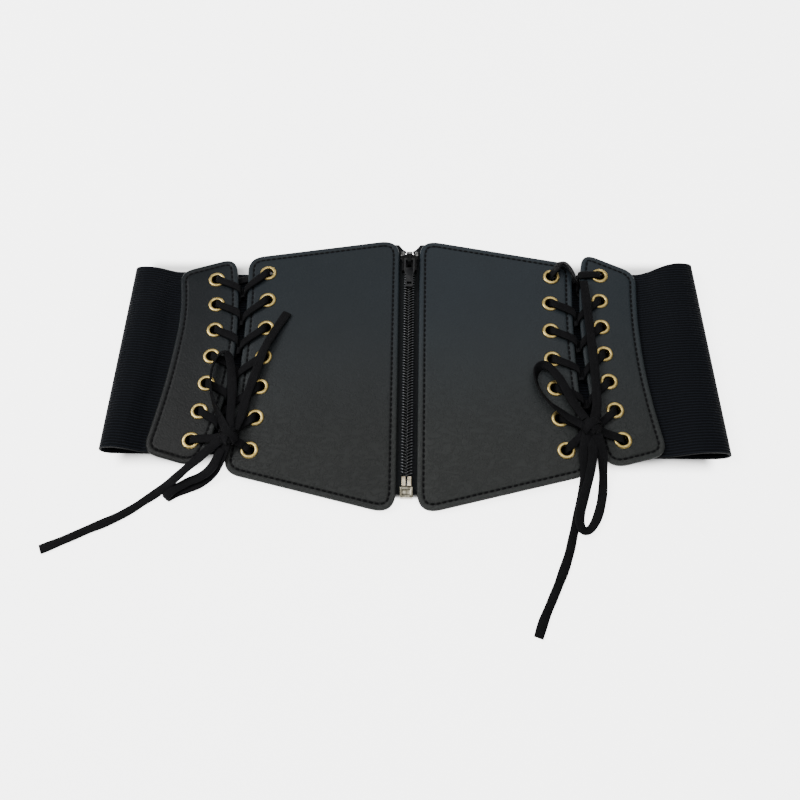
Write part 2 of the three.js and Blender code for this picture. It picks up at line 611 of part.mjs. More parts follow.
// The lace's flat section. Six sides suit the tight lacing, and eight the free ends.
function laceSection(sides) {
  const [x, y] = [LACE.thick / 2, LACE.width / 2];
  const rows = sides === 6
    ? [[x, 0.72 * y], [0, y], [-x, 0.72 * y], [-x, -0.72 * y], [0, -y], [x, -0.72 * y]]
    : [[x, 0.6 * y], [0.5 * x, y], [-0.5 * x, y], [-x, 0.6 * y],
      [-x, -0.6 * y], [-0.5 * x, -y], [0.5 * x, -y], [x, -0.6 * y]];
  return new THREE.Shape(rows.map(([a, b]) => new THREE.Vector2(a, b)));
}

function ribbon(stations, sides) {
  const extrudePath = new RibbonPath(stations);
  const settings = { steps: stations.length - 1, extrudePath };
  return outward(merged(new THREE.ExtrudeGeometry(laceSection(sides), settings)));
}

// A station worked out outwards from the zip, moved to its side of the belt.
function placed(side, { point, face, across }) {
  const turned = vector => new THREE.Vector3(side * vector.x, vector.y, vector.z);
  const moved = turned(point);
  moved.x += ZIP_X;
  return { point: moved, face: turned(face), across: across && turned(across) };
}

// Lacing. Heights of the lace's middle where it lies on or under the leather, and over a rim
const halfLace = LACE.thick / 2;
const ON_LEATHER = CLEAR + halfLace;
const OVER_RIM = EYELET.proud + CLEAR * 1.4 + halfLace;
const BEND_WIDTH = 1.1;
const FACE_UP = new THREE.Vector3(0, 0, 1);
const FACE_OUT = new THREE.Vector3(1, 0, 0);

function makeLacing(name) {
  const side = name === 'left' ? -1 : 1;
  const panels = { front: PANELS[`front_${name}`], side: PANELS[`side_${name}`] };
  const edge = (kind, y) => edgeAt(panels[kind], panels[kind].laced, y);
  const other = kind => (kind === 'front' ? 'side' : 'front');
  const towards = kind => (kind === 'front' ? 1 : -1);
  const topOf = (x, y) => underside(x, y) + LEATHER;
  const slanted = toGap => new THREE.Vector3(toGap, 0, 1).normalize();
  const station = (x, y, z, face) => ({ point: new THREE.Vector3(x, y, z), face });

  const through = (kind, index) => {
    const eye = eyeletPoint(`${kind}_${name}`, index);
    return [
      station(eye.x, eye.y, underside(eye.x, eye.y) + 0.2, FACE_OUT),
      station(eye.x, eye.y, topOf(eye.x, eye.y) + 0.2, FACE_OUT),
    ];
  };

  // Up out of an eyelet and over its rim, towards a place on the leather.
  const overRim = (kind, index, goal) => {
    const eye = eyeletPoint(`${kind}_${name}`, index);
    const way = goal.clone().sub(eye).normalize();
    const top = topOf(eye.x, eye.y);
    const at = (reach, lift, face) => station(
      eye.x + way.x * reach, eye.y + way.y * reach, top + lift, face);
    return [at(1.0, OVER_RIM - 0.1, slanted(-Math.sign(way.x))), at(3.0, OVER_RIM + 0.1, FACE_UP)];
  };

  // The lace's bend round one edge of the gap: first over or under the leather, then in the gap.
  const beside = (kind, y, dir, height, up) => {
    const slope = (edge(kind, y + 1) - edge(kind, y - 1)) / 2;
    const face = new THREE.Vector3(1, -slope, 0).normalize();
    const across = new THREE.Vector3(slope, 1, 0).setLength(BEND_WIDTH);
    const slant = face.clone().multiplyScalar(dir * up).add(FACE_UP).normalize();
    const at = (reach, slip, z, way) => ({
      point: face.clone().multiplyScalar(dir * reach).add(new THREE.Vector3(edge(kind, y), y - slip, z)),
      face: way,
      across,
    });
    return [
      at(0.9, 0, height + up * 0.8, slant),
      at(1.15, up * 0.9, height - up * 0.7, face),
    ];
  };

  // From one eyelet over its own panel, down the gap, under the other panel to the next eyelet.
  const crossing = (kind, index) => {
    const eye = eyeletPoint(`${kind}_${name}`, index);
    const dir = towards(kind);
    const far = other(kind);
    const diveY = eye.y - DROPS[name][kind][index];
    const near = edge(kind, diveY);
    const goal = new THREE.Vector2(near, diveY);
    const lip = topOf(near, diveY);
    const lowY = diveY - 2.2;
    const floor = underside(edge(far, lowY), lowY);
    const next = eyeletPoint(`${far}_${name}`, index + 1);
    const slack = name === 'right' && kind === 'front' && index === 0;
    const rise = slack
      ? [0.3, 0.6, 0.85].map(share => station(
        lerp(eye.x + 1, near, share), lerp(eye.y, diveY, share) + SLACK * Math.sin(Math.PI * share),
        topOf(near, diveY) + LACE.width / 2 + CLEAR + EYELET.proud,
        new THREE.Vector3(share - 0.5, 1, 0.3)))
      : [];
    const first = slack ? new THREE.Vector2(lerp(eye.x, near, 0.2), eye.y + SLACK * 0.6) : goal;
    return [
      ...through(kind, index),
      ...(slack ? overRim(kind, index, first).slice(0, 1) : overRim(kind, index, first)),
      ...rise,
      ...beside(kind, diveY, dir, lip, 1),
      ...beside(far, lowY, -dir, floor, -1).reverse(),
      station(
        next.x - dir * 2.4, next.y + 1, underside(next.x, next.y) - ON_LEATHER - 0.05, FACE_UP),
    ];
  };

  // From the last eyelet to the knot.
  const ending = kind => {
    const index = EYELET.pairs - 1;
    const knot = KNOTS[name];
    const eye = eyeletPoint(`${kind}_${name}`, index);
    const goal = new THREE.Vector2(knot.x, knot.y);
    const lift = topOf(knot.x, knot.y) + KNOT.lift;
    const reach = KNOT.long / 2 + CLEAR * 2;
    const way = goal.clone().sub(eye).normalize();
    return [
      ...through(kind, index),
      ...overRim(kind, index, goal),
      station(goal.x - way.x * (reach + 2.5), goal.y - way.y * (reach + 2.5), lift - 3.2, FACE_UP),
      station(goal.x - way.x * reach, goal.y - way.y * reach, lift - 2.2, FACE_UP),
    ];
  };

  const strand = start => {
    const stations = [];
    let kind = start;
    for (let index = 0; index < EYELET.pairs - 1; index += 1) {
      stations.push(...crossing(kind, index));
      kind = other(kind);
    }
    return [...stations, ...ending(kind)];
  };

  const pass = ['side', 'front'].map(kind => {
    const eye = eyeletPoint(`${kind}_${name}`, 0);
    const dir = towards(kind);
    return station(eye.x + dir * 2.2, eye.y, underside(eye.x, eye.y) - 1.6, FACE_UP);
  });
  const whole = [...strand('side').reverse(), ...pass, ...strand('front')];
  return ribbon(whole.map(one => placed(side, one)), 6);
}

// The bow's knot: the lace wound round itself, as one rounded lump with a waist
function makeKnot(name) {
  const side = name === 'left' ? -1 : 1;
  const { x, y } = KNOTS[name];
  const lift = underside(x, y) + LEATHER + KNOT.lift;
  return bend(new THREE.SphereGeometry(0.5, 12, 8), spot => new THREE.Vector3(
    ZIP_X + side * (x + spot.x * KNOT.long), y + spot.y * KNOT.wide, lift + spot.z * KNOT.deep));
}

for (const name of ['left', 'right']) {
  add(`lacing_${name}`, makeLacing(name), laceBlack);
  add(`bow_knot_${name}`, makeKnot(name), laceBlack);
}

// Free lace: the bow's loops and tails, with a station about every two widths
function freeLace(name, rows) {
  const side = name.includes('_left_') ? -1 : 1;
  const curve = new THREE.CatmullRomCurve3(rows.map(([x, y, z]) => new THREE.Vector3(x, y, z)));
  const length = curve.getLength();
  const steps = Math.max(Math.ceil(length / (LACE.width * (name.startsWith('bow') ? 1.2 : 2))), 8);
  const stations = Array.from({ length: steps + 1 }, (_, i) => {
    const share = curve.getUtoTmapping(i / steps);
    const point = curve.getPoint(share);
    const tangent = curve.getTangent(share);
    const row = share * (rows.length - 1);
    const low = Math.min(Math.floor(row), rows.length - 2);
    const roll = THREE.MathUtils.degToRad(lerp(rows[low][3], rows[low + 1][3], row - low));
    const face = FACE_UP.clone().applyAxisAngle(tangent, roll);
    return placed(side, { point, face });
  });
  return ribbon(stations, 8);
}

for (const [name, rows] of Object.entries(ROUTES)) {
  add(name, freeLace(name, rows), laceBlack);
}

export default belt;
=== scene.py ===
"""Looks of a corset belt that lies flat on a table, zip closed and both laces tied in bows.

The pieces' sizes are millimetres in the part's own frame, +X along the belt, +Y towards its upper
edge and +Z up from the table. Meshes are written in metres, and the finishes are sized in metres.
"""

import logging
import math
from dataclasses import dataclass, field
from enum import Enum

import bpy
import numpy as np
from mathutils import Matrix


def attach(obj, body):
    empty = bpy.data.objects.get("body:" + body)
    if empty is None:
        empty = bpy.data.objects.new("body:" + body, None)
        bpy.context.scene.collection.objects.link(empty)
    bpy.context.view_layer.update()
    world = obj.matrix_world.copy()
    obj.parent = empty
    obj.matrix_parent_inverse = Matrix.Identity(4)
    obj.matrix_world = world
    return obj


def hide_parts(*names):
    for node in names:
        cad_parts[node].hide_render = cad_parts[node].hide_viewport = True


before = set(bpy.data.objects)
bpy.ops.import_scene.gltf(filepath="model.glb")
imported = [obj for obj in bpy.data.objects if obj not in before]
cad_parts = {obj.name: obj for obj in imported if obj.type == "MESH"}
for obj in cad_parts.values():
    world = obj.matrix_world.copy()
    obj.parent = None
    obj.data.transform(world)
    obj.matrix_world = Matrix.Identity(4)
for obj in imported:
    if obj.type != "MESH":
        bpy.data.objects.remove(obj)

MM = 0.001
TURN = 2 * math.pi
ZIP_X = -3.2
CLEAR = 0.3
LEATHER_THICK = 2.0
PAIRS = 7
UP = np.array([0.0, 0.0, 1.0])
OUTWARD = np.array([1.0, 0.0, 0.0])
TOPWARD = np.array([0.0, 1.0, 0.0])
NONE = np.zeros(3)
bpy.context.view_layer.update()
LOG = logging.getLogger("corset_belt")

Array = np.ndarray
Material = bpy.types.Material
Piece = bpy.types.Object
Colour = tuple[float, float, float]
Station = tuple[Array, Array, Array]


class Side(Enum):
    """Which half of the belt a piece is on, as the sign of its x."""

    LEFT = -1
    RIGHT = 1

    @property
    def word(self) -> str:
        """The side's name as the part's nodes spell it."""
        return self.name.lower()


class Edge(Enum):
    """A long edge of a panel."""

    INNER = "inner"
    OUTER = "outer"


# Meshes from whole arrays


def grid_faces(rows: int, cols: int, closed_rows: bool = False, closed_cols: bool = False) -> Array:
    """Quads that join a grid of points, row by row.

    Args:
        rows: how many rows of points there are.
        cols: how many points a row has.
        closed_rows: whether the last row joins the first.
        closed_cols: whether the last column joins the first.

    Returns:
        An array of faces, four indices each.
    """
    r = np.arange(rows if closed_rows else rows - 1)[:, None]
    c = np.arange(cols if closed_cols else cols - 1)[None, :]
    r2, c2 = (r + 1) % rows, (c + 1) % cols
    corners = [r * cols + c, r * cols + c2, r2 * cols + c2, r2 * cols + c]
    return np.stack([np.broadcast_to(k, (r.shape[0], c.shape[1])) for k in corners], -1).reshape(-1, 4)


def tube_faces(rows: int, cols: int, flipped: bool = False) -> list[list[int]]:
    """The faces of a tube through rings of points, with a cap at each end.

    Args:
        rows: how many rings there are.
        cols: how many points a ring has.
        flipped: whether every face is turned over.

    Returns:
        The faces, the caps last.
    """
    last = (rows - 1) * cols
    caps = [list(range(cols))[::-1], list(range(last, last + cols))]
    faces = [*grid_faces(rows, cols, closed_cols=True).tolist(), *caps]
    return [face[::-1] for face in faces] if flipped else faces


def round_turn(count: int) -> Array:
    """Angles evenly spaced round one turn, in radians."""
    return np.linspace(0, TURN, count, endpoint=False)


def reach_along(points: Array) -> Array:
    """The distance along a path at each of its points."""
    return np.concatenate([[0], np.cumsum(np.linalg.norm(np.diff(points, axis=0), axis=1))])


@dataclass
class Shell:
    """A mesh that is put together from patches of points."""

    points: list = field(default_factory=list)
    lays: list = field(default_factory=list)
    faces: list = field(default_factory=list)
    count: int = 0

    def add(self, points: Array, faces: list | Array, lay: Array | None = None) -> "Shell":
        """Adds one patch.

        Args:
            points: its points in millimetres, in any shape that ends in 3.
            faces: its faces, as indices into those points.
            lay: two numbers for each point, in millimetres, that patterns follow.

        Returns:
            The shell itself.
        """
        flat = np.asarray(points, float).reshape(-1, 3)
        self.points.append(flat)
        self.lays.append(flat[:, :2] if lay is None else np.asarray(lay, float).reshape(-1, 2))
        self.faces.extend((np.asarray(f) + self.count).tolist() for f in faces)
        self.count += len(flat)
        return self

    def build(self, name: str, material: Material, sharp: float = 180.0) -> Piece:
        """Makes the Blender object.

        Args:
            name: the piece's name.
            material: its finish.
            sharp: the angle in degrees past which an edge shows as a crease.

        Returns:
            The new object, with its place in its mesh.
        """
        mesh = bpy.data.meshes.new(name)
        mesh.from_pydata(np.concatenate(self.points) * MM, [], self.faces)
        mesh.polygons.foreach_set("use_smooth", np.ones(len(mesh.polygons), bool))
        corner = np.zeros(len(mesh.loops), np.int32)
        mesh.loops.foreach_get("vertex_index", corner)
        uv = (np.concatenate(self.lays) * MM)[corner]
        mesh.uv_layers.new(name="lay").data.foreach_set("uv", uv.astype(np.float32).ravel())
        if sharp < 180.0:
            mesh.set_sharp_from_angle(angle=math.radians(sharp))
        mesh.materials.append(material)
        mesh.update()
        made = bpy.data.objects.new(name, mesh)
        bpy.context.scene.collection.objects.link(made)
        return made


def fit(piece: Piece, slot: str, body: str, *nodes: str) -> Piece:
    """Puts a piece on its body and hides the solids that it stands for.

    Args:
        piece: the finished object.
        slot: the record's material slot; not used.
        body: the body that it rides on.
        nodes: the solids that it replaces.

    Returns:
        The piece.
    """
    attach(piece, body)
    if nodes:
        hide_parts(*nodes)
    LOG.info("%s: %d faces", piece.name, len(piece.data.polygons))
    return piece


def settle(piece: Piece, sharp: float) -> None:
    """Takes a piece's modifiers into its mesh, which is smooth but for its creases.

    Args:
        piece: the object.
        sharp: the angle in degrees past which an edge is a crease.
    """
    evaluated = piece.evaluated_get(bpy.context.evaluated_depsgraph_get())
    mesh = bpy.data.meshes.new_from_object(evaluated)
    piece.modifiers.clear()
    piece.data = mesh
    mesh.polygons.foreach_set("use_smooth", np.ones(len(mesh.polygons), bool))
    mesh.set_sharp_from_angle(angle=math.radians(sharp))


def unit(vectors: Array) -> Array:
    """Each vector at length one."""
    return vectors / np.maximum(np.linalg.norm(vectors, axis=-1, keepdims=True), 1e-9)


def smoothstep(x: Array, low: float, high: float) -> Array:
    """0 below low, 1 above high and 3t^2 - 2t^3 between them."""
    t = np.clip((np.asarray(x, float) - low) / (high - low), 0, 1)
    return t * t * (3 - 2 * t)


def ease(knots: Array, values: Array, at: Array) -> Array:
    """A smooth curve through values that never swings past them.

    Each knot's slope is the harmonic mean of the slopes on its two sides, or none where they differ
    in sign, and between two knots runs the cubic with those slopes.

    Args:
        knots: where the values stand, rising.
        values: one row of numbers for each knot.
        at: where the curve is wanted.

    Returns:
        One row of numbers for each place in at.
    """
    step = np.diff(knots)[:, None]
    rise = np.diff(values, axis=0) / step
    both = rise[1:] * rise[:-1]
    total = rise[1:] + rise[:-1]
    middle = np.where(both > 0, 2 * both / np.where(np.abs(total) < 1e-12, 1, total), 0)
    slope = np.concatenate([rise[:1], middle, rise[-1:]])
    i = np.clip(np.searchsorted(knots, at, side="right") - 1, 0, len(knots) - 2)
    h = step[i]
    t = ((at - knots[i])[:, None]) / h
    return (
        values[i] * (1 + 2 * t) * (1 - t) ** 2
        + slope[i] * h * t * (1 - t) ** 2
        + values[i + 1] * t * t * (3 - 2 * t)
        + slope[i + 1] * h * t * t * (t - 1)
    )


# How the front layer lies


@dataclass(frozen=True)
class Lie:
    """How high the front layer lies over the table, out being the distance from the zip."""

    rise: float = 4.6
    side_fall: float = 0.7
    droop: float = 3.0
    droop_start: float = -23.0
    half_height: float = 83.5
    level_to: float = 93.8
    fall_over: float = 35.9

    def underside(self, out: Array, y: Array) -> Array:
        """The height of the leather's underside: level, then falling outwards and towards the hem."""
        hang = self.droop * (np.maximum(self.droop_start - y, 0) / (self.droop_start + self.half_height)) ** 2
        beyond = np.clip((out - self.level_to) / self.fall_over, 0, 1.3)
        return self.rise - self.side_fall * beyond - hang

    def seated(self, side: Side, out: float, y: float) -> tuple[Array, Array]:
        """A frame that stands on the front layer.

        Args:
            side: the belt's half.
            out: the distance from the zip.
            y: the height on the belt.

        Returns:
            The turn, as three rows, and the foot of the frame.
        """
        sy = (self.underside(out, y + 1) - self.underside(out, y - 1)) / 2
        sx = side.value * (self.underside(out + 1, y) - self.underside(out - 1, y)) / 2
        up = unit(np.array([-sx, -sy, 1.0]))
        along = unit(np.cross(TOPWARD, up))
        turn = np.stack([along, np.cross(up, along), up])
        foot = np.array([ZIP_X + side.value * out, y, self.underside(out, y)])
        return turn, foot


LIE = Lie()


@dataclass(frozen=True)
class Cut:
    """The pattern of one leather panel. Across is a share of its width outwards, up of its height.

    All corners have one size, unless rounder gives the top and the bottom inner corner their own.
    """

    kind: str
    side: Side
    start: float
    width: float
    height: float
    corner: float
    top_inner: tuple[float, float]
    top_outer: tuple[float, float]
    bottom_outer: tuple[float, float]
    bottom_inner: tuple[float, float]
    inner_bow: tuple[float, float]
    outer_bow: tuple[float, float]
    column: tuple[float, float, float, float, float]
    rounder: tuple[float, float] | None = None

    @property
    def name(self) -> str:
        """Kind and side as the nodes spell them."""
        return f"{self.kind}_{self.side.word}"

    def corner_at(self, share: tuple[float, float]) -> Array:
        """A corner before it is rounded, outwards from the zip and up."""
        return np.array([self.start + share[0] * self.width, share[1] * self.height])

    def ends(self, edge: Edge) -> tuple[Array, Array]:
        """The top and bottom corner of a long edge."""
        inner = edge is Edge.INNER
        top, bottom = (self.top_inner, self.bottom_inner) if inner else (self.top_outer, self.bottom_outer)
        return self.corner_at(top), self.corner_at(bottom)

    def edge_points(self, edge: Edge, share: Array) -> Array:
        """Points on a long edge: a straight line from top to bottom, bent towards the zip by a bump.

        Args:
            edge: which edge.
            share: the shares of the way from its top.

        Returns:
            Points outwards from the zip and up.
        """
        top, bottom = self.ends(edge)
        bow, at = self.inner_bow if edge is Edge.INNER else self.outer_bow
        share = np.asarray(share, float)
        bump = np.where(share < at, 1 - ((at - share) / at) ** 2, 1 - ((share - at) / (1 - at)) ** 2)
        points = top + (bottom - top) * share[..., None]
        points[..., 0] -= bow * self.width * bump
        return points

    def edge_at(self, edge: Edge, y: Array) -> Array:
        """How far out a long edge lies at height y."""
        top, bottom = self.ends(edge)
        share = np.clip((top[1] - np.asarray(y, float)) / (top[1] - bottom[1]), 0, 1)
        return self.edge_points(edge, share)[..., 0]

    def outline(self, side_steps: int = 46, turn_steps: int = 9) -> Array:
        """The closed outline, clockwise from the top inner corner, with its corners rounded.

        Args:
            side_steps: points along each edge.
            turn_steps: points round each corner, on a quadratic curve.

        Returns:
            Points outwards from the zip and up.
        """
        shares = (self.top_inner, self.top_outer, self.bottom_outer, self.bottom_inner)
        corners = [self.corner_at(share) for share in shares]
        upper, lower = self.rounder or (self.corner, self.corner)
        sizes = [upper, self.corner, self.corner, lower]

        def between(i: int, j: int) -> tuple[Array, Array]:
            """Two corners, each moved towards the other by its own size."""
            a, b = corners[i], corners[j]
            way = unit(b - a)
            return a + way * sizes[i], b - way * sizes[j]

        def long_edge(edge: Edge) -> Array:
            """A long edge from top to bottom, without its two corners."""
            top, bottom = self.ends(edge)
            whole = np.linalg.norm(bottom - top)
            first, last = (upper, lower) if edge is Edge.INNER else (self.corner, self.corner)
            return self.edge_points(edge, np.linspace(first / whole, 1 - last / whole, side_steps))

        def turn(a: Array, c: Array, b: Array) -> Array:
            """The quadratic curve from a to b that bends towards c, without its ends."""
            t = np.linspace(0, 1, turn_steps + 2)[1:-1, None]
            return a * (1 - t) ** 2 + 2 * c * t * (1 - t) + b * t * t

        top = np.linspace(*between(0, 1), side_steps)
        hem = np.linspace(*between(2, 3), side_steps)
        down, up = long_edge(Edge.OUTER), long_edge(Edge.INNER)[::-1]
        return np.concatenate([
            top, turn(top[-1], corners[1], down[0]), down, turn(down[-1], corners[2], hem[0]),
            hem, turn(hem[-1], corners[3], up[0]), up, turn(up[-1], corners[0], top[0]),
        ])

    def eyelet(self, index: int) -> Array:
        """The centre of an eyelet, outwards from the zip and up, index 0 being the top one."""
        top, bottom, bow, first, pitch = self.column
        share = index / (PAIRS - 1)
        across = top + (bottom - top) * share - 4 * bow * share * (1 - share)
        return np.array([self.start + across * self.width, (first - index * pitch) * self.height])


FRONT = {"start": 5.8, "width": 88.0, "height": 167.0, "corner": 9.0}
OUTER = {"start": 97.2, "width": 32.5, "height": 131.5, "corner": 8.5}
CUTS = {
    cut.name: cut
    for cut in (
        Cut("front", Side.LEFT, **FRONT, top_inner=(0, 0.5), top_outer=(0.992, 0.418),
            bottom_outer=(1.012, -0.373), bottom_inner=(-0.006, -0.502), inner_bow=(0, 0.5),
            outer_bow=(0.035, 0.5), column=(0.85, 0.861, 0.026, 0.353, 0.109), rounder=(12, 13)),
        Cut("front", Side.RIGHT, **FRONT, top_inner=(0, 0.5), top_outer=(0.992, 0.4),
            bottom_outer=(1.01, -0.368), bottom_inner=(-0.006, -0.502), inner_bow=(0, 0.5),
            outer_bow=(0.035, 0.5), column=(0.849, 0.867, 0.036, 0.344, 0.106), rounder=(12, 13)),
        Cut("side", Side.LEFT, **OUTER, top_inner=(0.095, 0.532), top_outer=(1.08, 0.456),
            bottom_outer=(1.255, -0.391), bottom_inner=(0.31, -0.46), inner_bow=(0.27, 0.52),
            outer_bow=(0.18, 0.36), column=(0.385, 0.477, 0.123, 0.414, 0.1262), rounder=(8.5, 12)),
        Cut("side", Side.RIGHT, **OUTER, top_inner=(0.07, 0.57), top_outer=(0.985, 0.465),
            bottom_outer=(1.157, -0.379), bottom_inner=(0.14, -0.451), inner_bow=(0.172, 0.42),
            outer_bow=(0.14, 0.5), column=(0.332, 0.446, 0.106, 0.446, 0.1285), rounder=(8.5, 13)),
    )
}


# Shader building


class Link:
    """A shader socket that takes part in Python sums, each adding a Math node."""

    def __init__(self, shader: "Shader", socket: bpy.types.NodeSocket) -> None:
        """Wraps a socket of that shader."""
        self.shader = shader
        self.socket = socket

    def _sum(self, operation: str, first: object, second: object) -> "Link":
        """One Math node on two values or links."""
        return self.shader.node("ShaderNodeMath", {"operation": operation}, {0: first, 1: second})

    def __add__(self, other: object) -> "Link":
        """self + other."""
        return self._sum("ADD", self, other)

    def __sub__(self, other: object) -> "Link":
        """self - other."""
        return self._sum("SUBTRACT", self, other)

    def __rsub__(self, other: object) -> "Link":
        """other - self."""
        return self._sum("SUBTRACT", other, self)

    def __mul__(self, other: object) -> "Link":
        """self * other."""
        return self._sum("MULTIPLY", self, other)

    __radd__ = __add__
    __rmul__ = __mul__

    def sine(self) -> "Link":
        """The sine, of radians."""
        return self.shader.node("ShaderNodeMath", {"operation": "SINE"}, {0: self})

    def wave(self) -> "Link":
        """The sine, of radians, moved to run from 0 to 1."""
        return self.sine() * 0.5 + 0.5

    def size(self) -> "Link":
        """The value without its sign."""
        return self.shader.node("ShaderNodeMath", {"operation": "ABSOLUTE"}, {0: self})

    def ramp(self, low: float, high: float) -> "Link":
        """0 below low, 1 above high, and a smooth step between them."""
        settings = {"interpolation_type": "SMOOTHSTEP"}
        inputs = {"Value": self, "From Min": low, "From Max": high}
        return self.shader.node("ShaderNodeMapRange", settings, inputs)


class Shader:
    """Builds one material's nodes round a Principled shader."""

    def __init__(self, name: str) -> None:
        """Starts an empty material of that name."""
        self.material = bpy.data.materials.new(name)
        self.material.use_nodes = True
        self.tree = self.material.node_tree
        self.surface = self.tree.nodes["Principled BSDF"]

    def node(
            self, kind: str, settings: dict | None = None, inputs: dict | None = None,
            out: object = 0) -> Link:
        """Adds one node.

        Args:
            kind: the node's type.
            settings: its own properties, set first.
            inputs: a value or a link for each of its sockets.
            out: which output is wanted, by number or name.

        Returns:
            That output.
        """
        made = self.tree.nodes.new(kind)
        for key, value in (settings or {}).items():
            setattr(made, key, value)
        for key, value in (inputs or {}).items():
            if isinstance(value, Link):
                self.tree.links.new(value.socket, made.inputs[key])
            else:
                made.inputs[key].default_value = value
        return Link(self, made.outputs[out])

    def place(self) -> Link:
        """Object coordinates, in metres."""
        return self.node("ShaderNodeTexCoord", out="Object")

    def axes(self, vector: Link) -> tuple[Link, Link]:
        """The first two coordinates of a vector."""
        first = self.node("ShaderNodeSeparateXYZ", None, {0: vector})
        return first, Link(self, first.socket.node.outputs[1])

    def lay(self) -> tuple[Link, Link]:
        """The piece's own two coordinates, in metres."""
        return self.axes(self.node("ShaderNodeUVMap", {"uv_map": "lay"}))

    def stretched(self, scale: tuple[float, float, float]) -> Link:
        """Object coordinates times a scale for each axis."""
        return self.node("ShaderNodeMapping", None, {"Vector": self.place(), "Scale": scale})

    def noise(self, vector: Link, scale: float, detail: float = 2.0, rough: float = 0.5) -> Link:
        """Noise from 0 to 1, with that many waves a metre."""
        inputs = {"Vector": vector, "Scale": scale, "Detail": detail, "Roughness": rough}
        return self.node("ShaderNodeTexNoise", None, inputs)

    def mix(self, factor: Link, first: tuple, second: tuple) -> Link:
        """A colour between two, by a factor."""
        first, second = ((*c, 1.0) if isinstance(c, tuple) else c for c in (first, second))
        return self.node("ShaderNodeMix", {"data_type": "RGBA"}, {0: factor, 6: first, 7: second}, 2)

    def bump(self, height: Link, distance: float, strength: float = 1.0, normal: Link | None = None) -> Link:
        """A bump from a height from 0 to 1, so many metres deep, laid over another."""
        inputs = {"Height": height, "Distance": distance, "Strength": strength}
        if normal:
            inputs["Normal"] = normal
        return self.node("ShaderNodeBump", None, inputs)

    def finish(self, **inputs: object) -> Material:
        """Sets the surface's sockets, named with underscores for spaces, and returns the material."""
        for key, value in inputs.items():
            socket = self.surface.inputs[key.replace("_", " ")]
            if isinstance(value, Link):
                self.tree.links.new(value.socket, socket)
            else:
                is_colour = isinstance(value, tuple) and len(value) == 3
                socket.default_value = (*value, 1.0) if is_colour else value
        return self.material


@dataclass(frozen=True)
class SatinLeather:
    """Coated charcoal leather: smooth and satin near the top, with a bluish painted reflection there, and
    creased grain towards the hem.
    """

    # hem and top: the tone low down and up top; the top's bluish tint is a painted reflection.
    hem: Colour = (0.0139, 0.015, 0.0144)
    top: Colour = (0.0087, 0.012, 0.0148)
    # left and right: the side panels' brightness, painted shade; lean: how much lighter the belt's right half
    # is painted.
    left: float = 0.42
    right: float = 0.92
    lean: float = 0.22
    groove: float = 0.0033
    roughness: float = 0.42
    pebble: float = 620.0
    beyond: tuple[float, float] = (0.085, 0.125)

    def material(self) -> Material:
        """Builds the finish."""
        s = Shader("satin_leather")
        place = s.place()
        across, up = s.axes(place)
        low = 1 - up.ramp(-0.045, 0.035)
        # Painted shade: the side panels darker, the left one most and more so low down; painted light: the
        # belt's right half lighter.
        leftmost, rightmost = (across * -1).ramp(*self.beyond), across.ramp(*self.beyond)
        shade = 1 - leftmost * (1 - self.left + low * 0.14) - rightmost * (1 - self.right)
        shade = shade * (1 + across.ramp(-0.006, 0.0) * self.lean)
        inwards, stitch = s.lay()
        # Painted shade in the stitch groove, deepest beside each stitch.
        dash = (stitch * (TURN / MM) + TURN / 4).sine().ramp(-0.5, 0.3)
        off_groove = (inwards - self.groove).size().ramp(0.0003, 0.0009)
        stitch_groove_shade = 1 - (1 - off_groove) * (0.35 + dash * 0.6)
        # Painted highlight: the turned lip lighter along the edge.
        lip_painted_highlight = 1 + (1 - inwards.ramp(0.0016, 0.0028)) * 0.22
        warp = s.noise(place, 260.0, 2.0)
        bent = s.node("ShaderNodeVectorMath", {"operation": "MULTIPLY_ADD"}, {
            0: Link(s, warp.socket.node.outputs["Color"]), 1: (0.0016, 0.0016, 0.0016), 2: place})
        cells = {"Vector": bent, "Scale": self.pebble}
        pebbles = s.node("ShaderNodeTexVoronoi", {"feature": "DISTANCE_TO_EDGE"}, cells).ramp(0.0, 0.35)
        creases = (s.noise(s.stretched((1.0, 1.6, 1.0)), 190.0, 4.0, 0.62) - 0.5).size().ramp(0.0, 0.07)
        waves = s.noise(place, 34.0, 2.0)
        grain = s.bump(pebbles, 0.00005, 0.6)
        strong = s.bump(creases * low * (1 - leftmost * 0.7), 0.00024, 0.7, grain)
        rolled = s.bump(waves, 0.0012, 0.5, strong)
        cloud = s.noise(place, 55.0, 3.0)
        # Painted reflection: the tone turns bluish towards the top.
        tone = s.mix(up.ramp(-0.06, 0.06), self.hem, self.top)
        grey = shade * stitch_groove_shade * lip_painted_highlight * (0.9 + cloud * 0.2)
        colour = s.node("ShaderNodeVectorMath", {"operation": "SCALE"}, {0: tone, "Scale": grey})
        fine = (s.noise(place, 900.0, 2.0) - 0.5) * 0.1
        rough = self.roughness + low * 0.07 - leftmost * 0.02 + fine + (1 - stitch_groove_shade) * 0.5
        return s.finish(Base_Color=colour, Roughness=rough, Normal=rolled, Specular_IOR_Level=0.13)


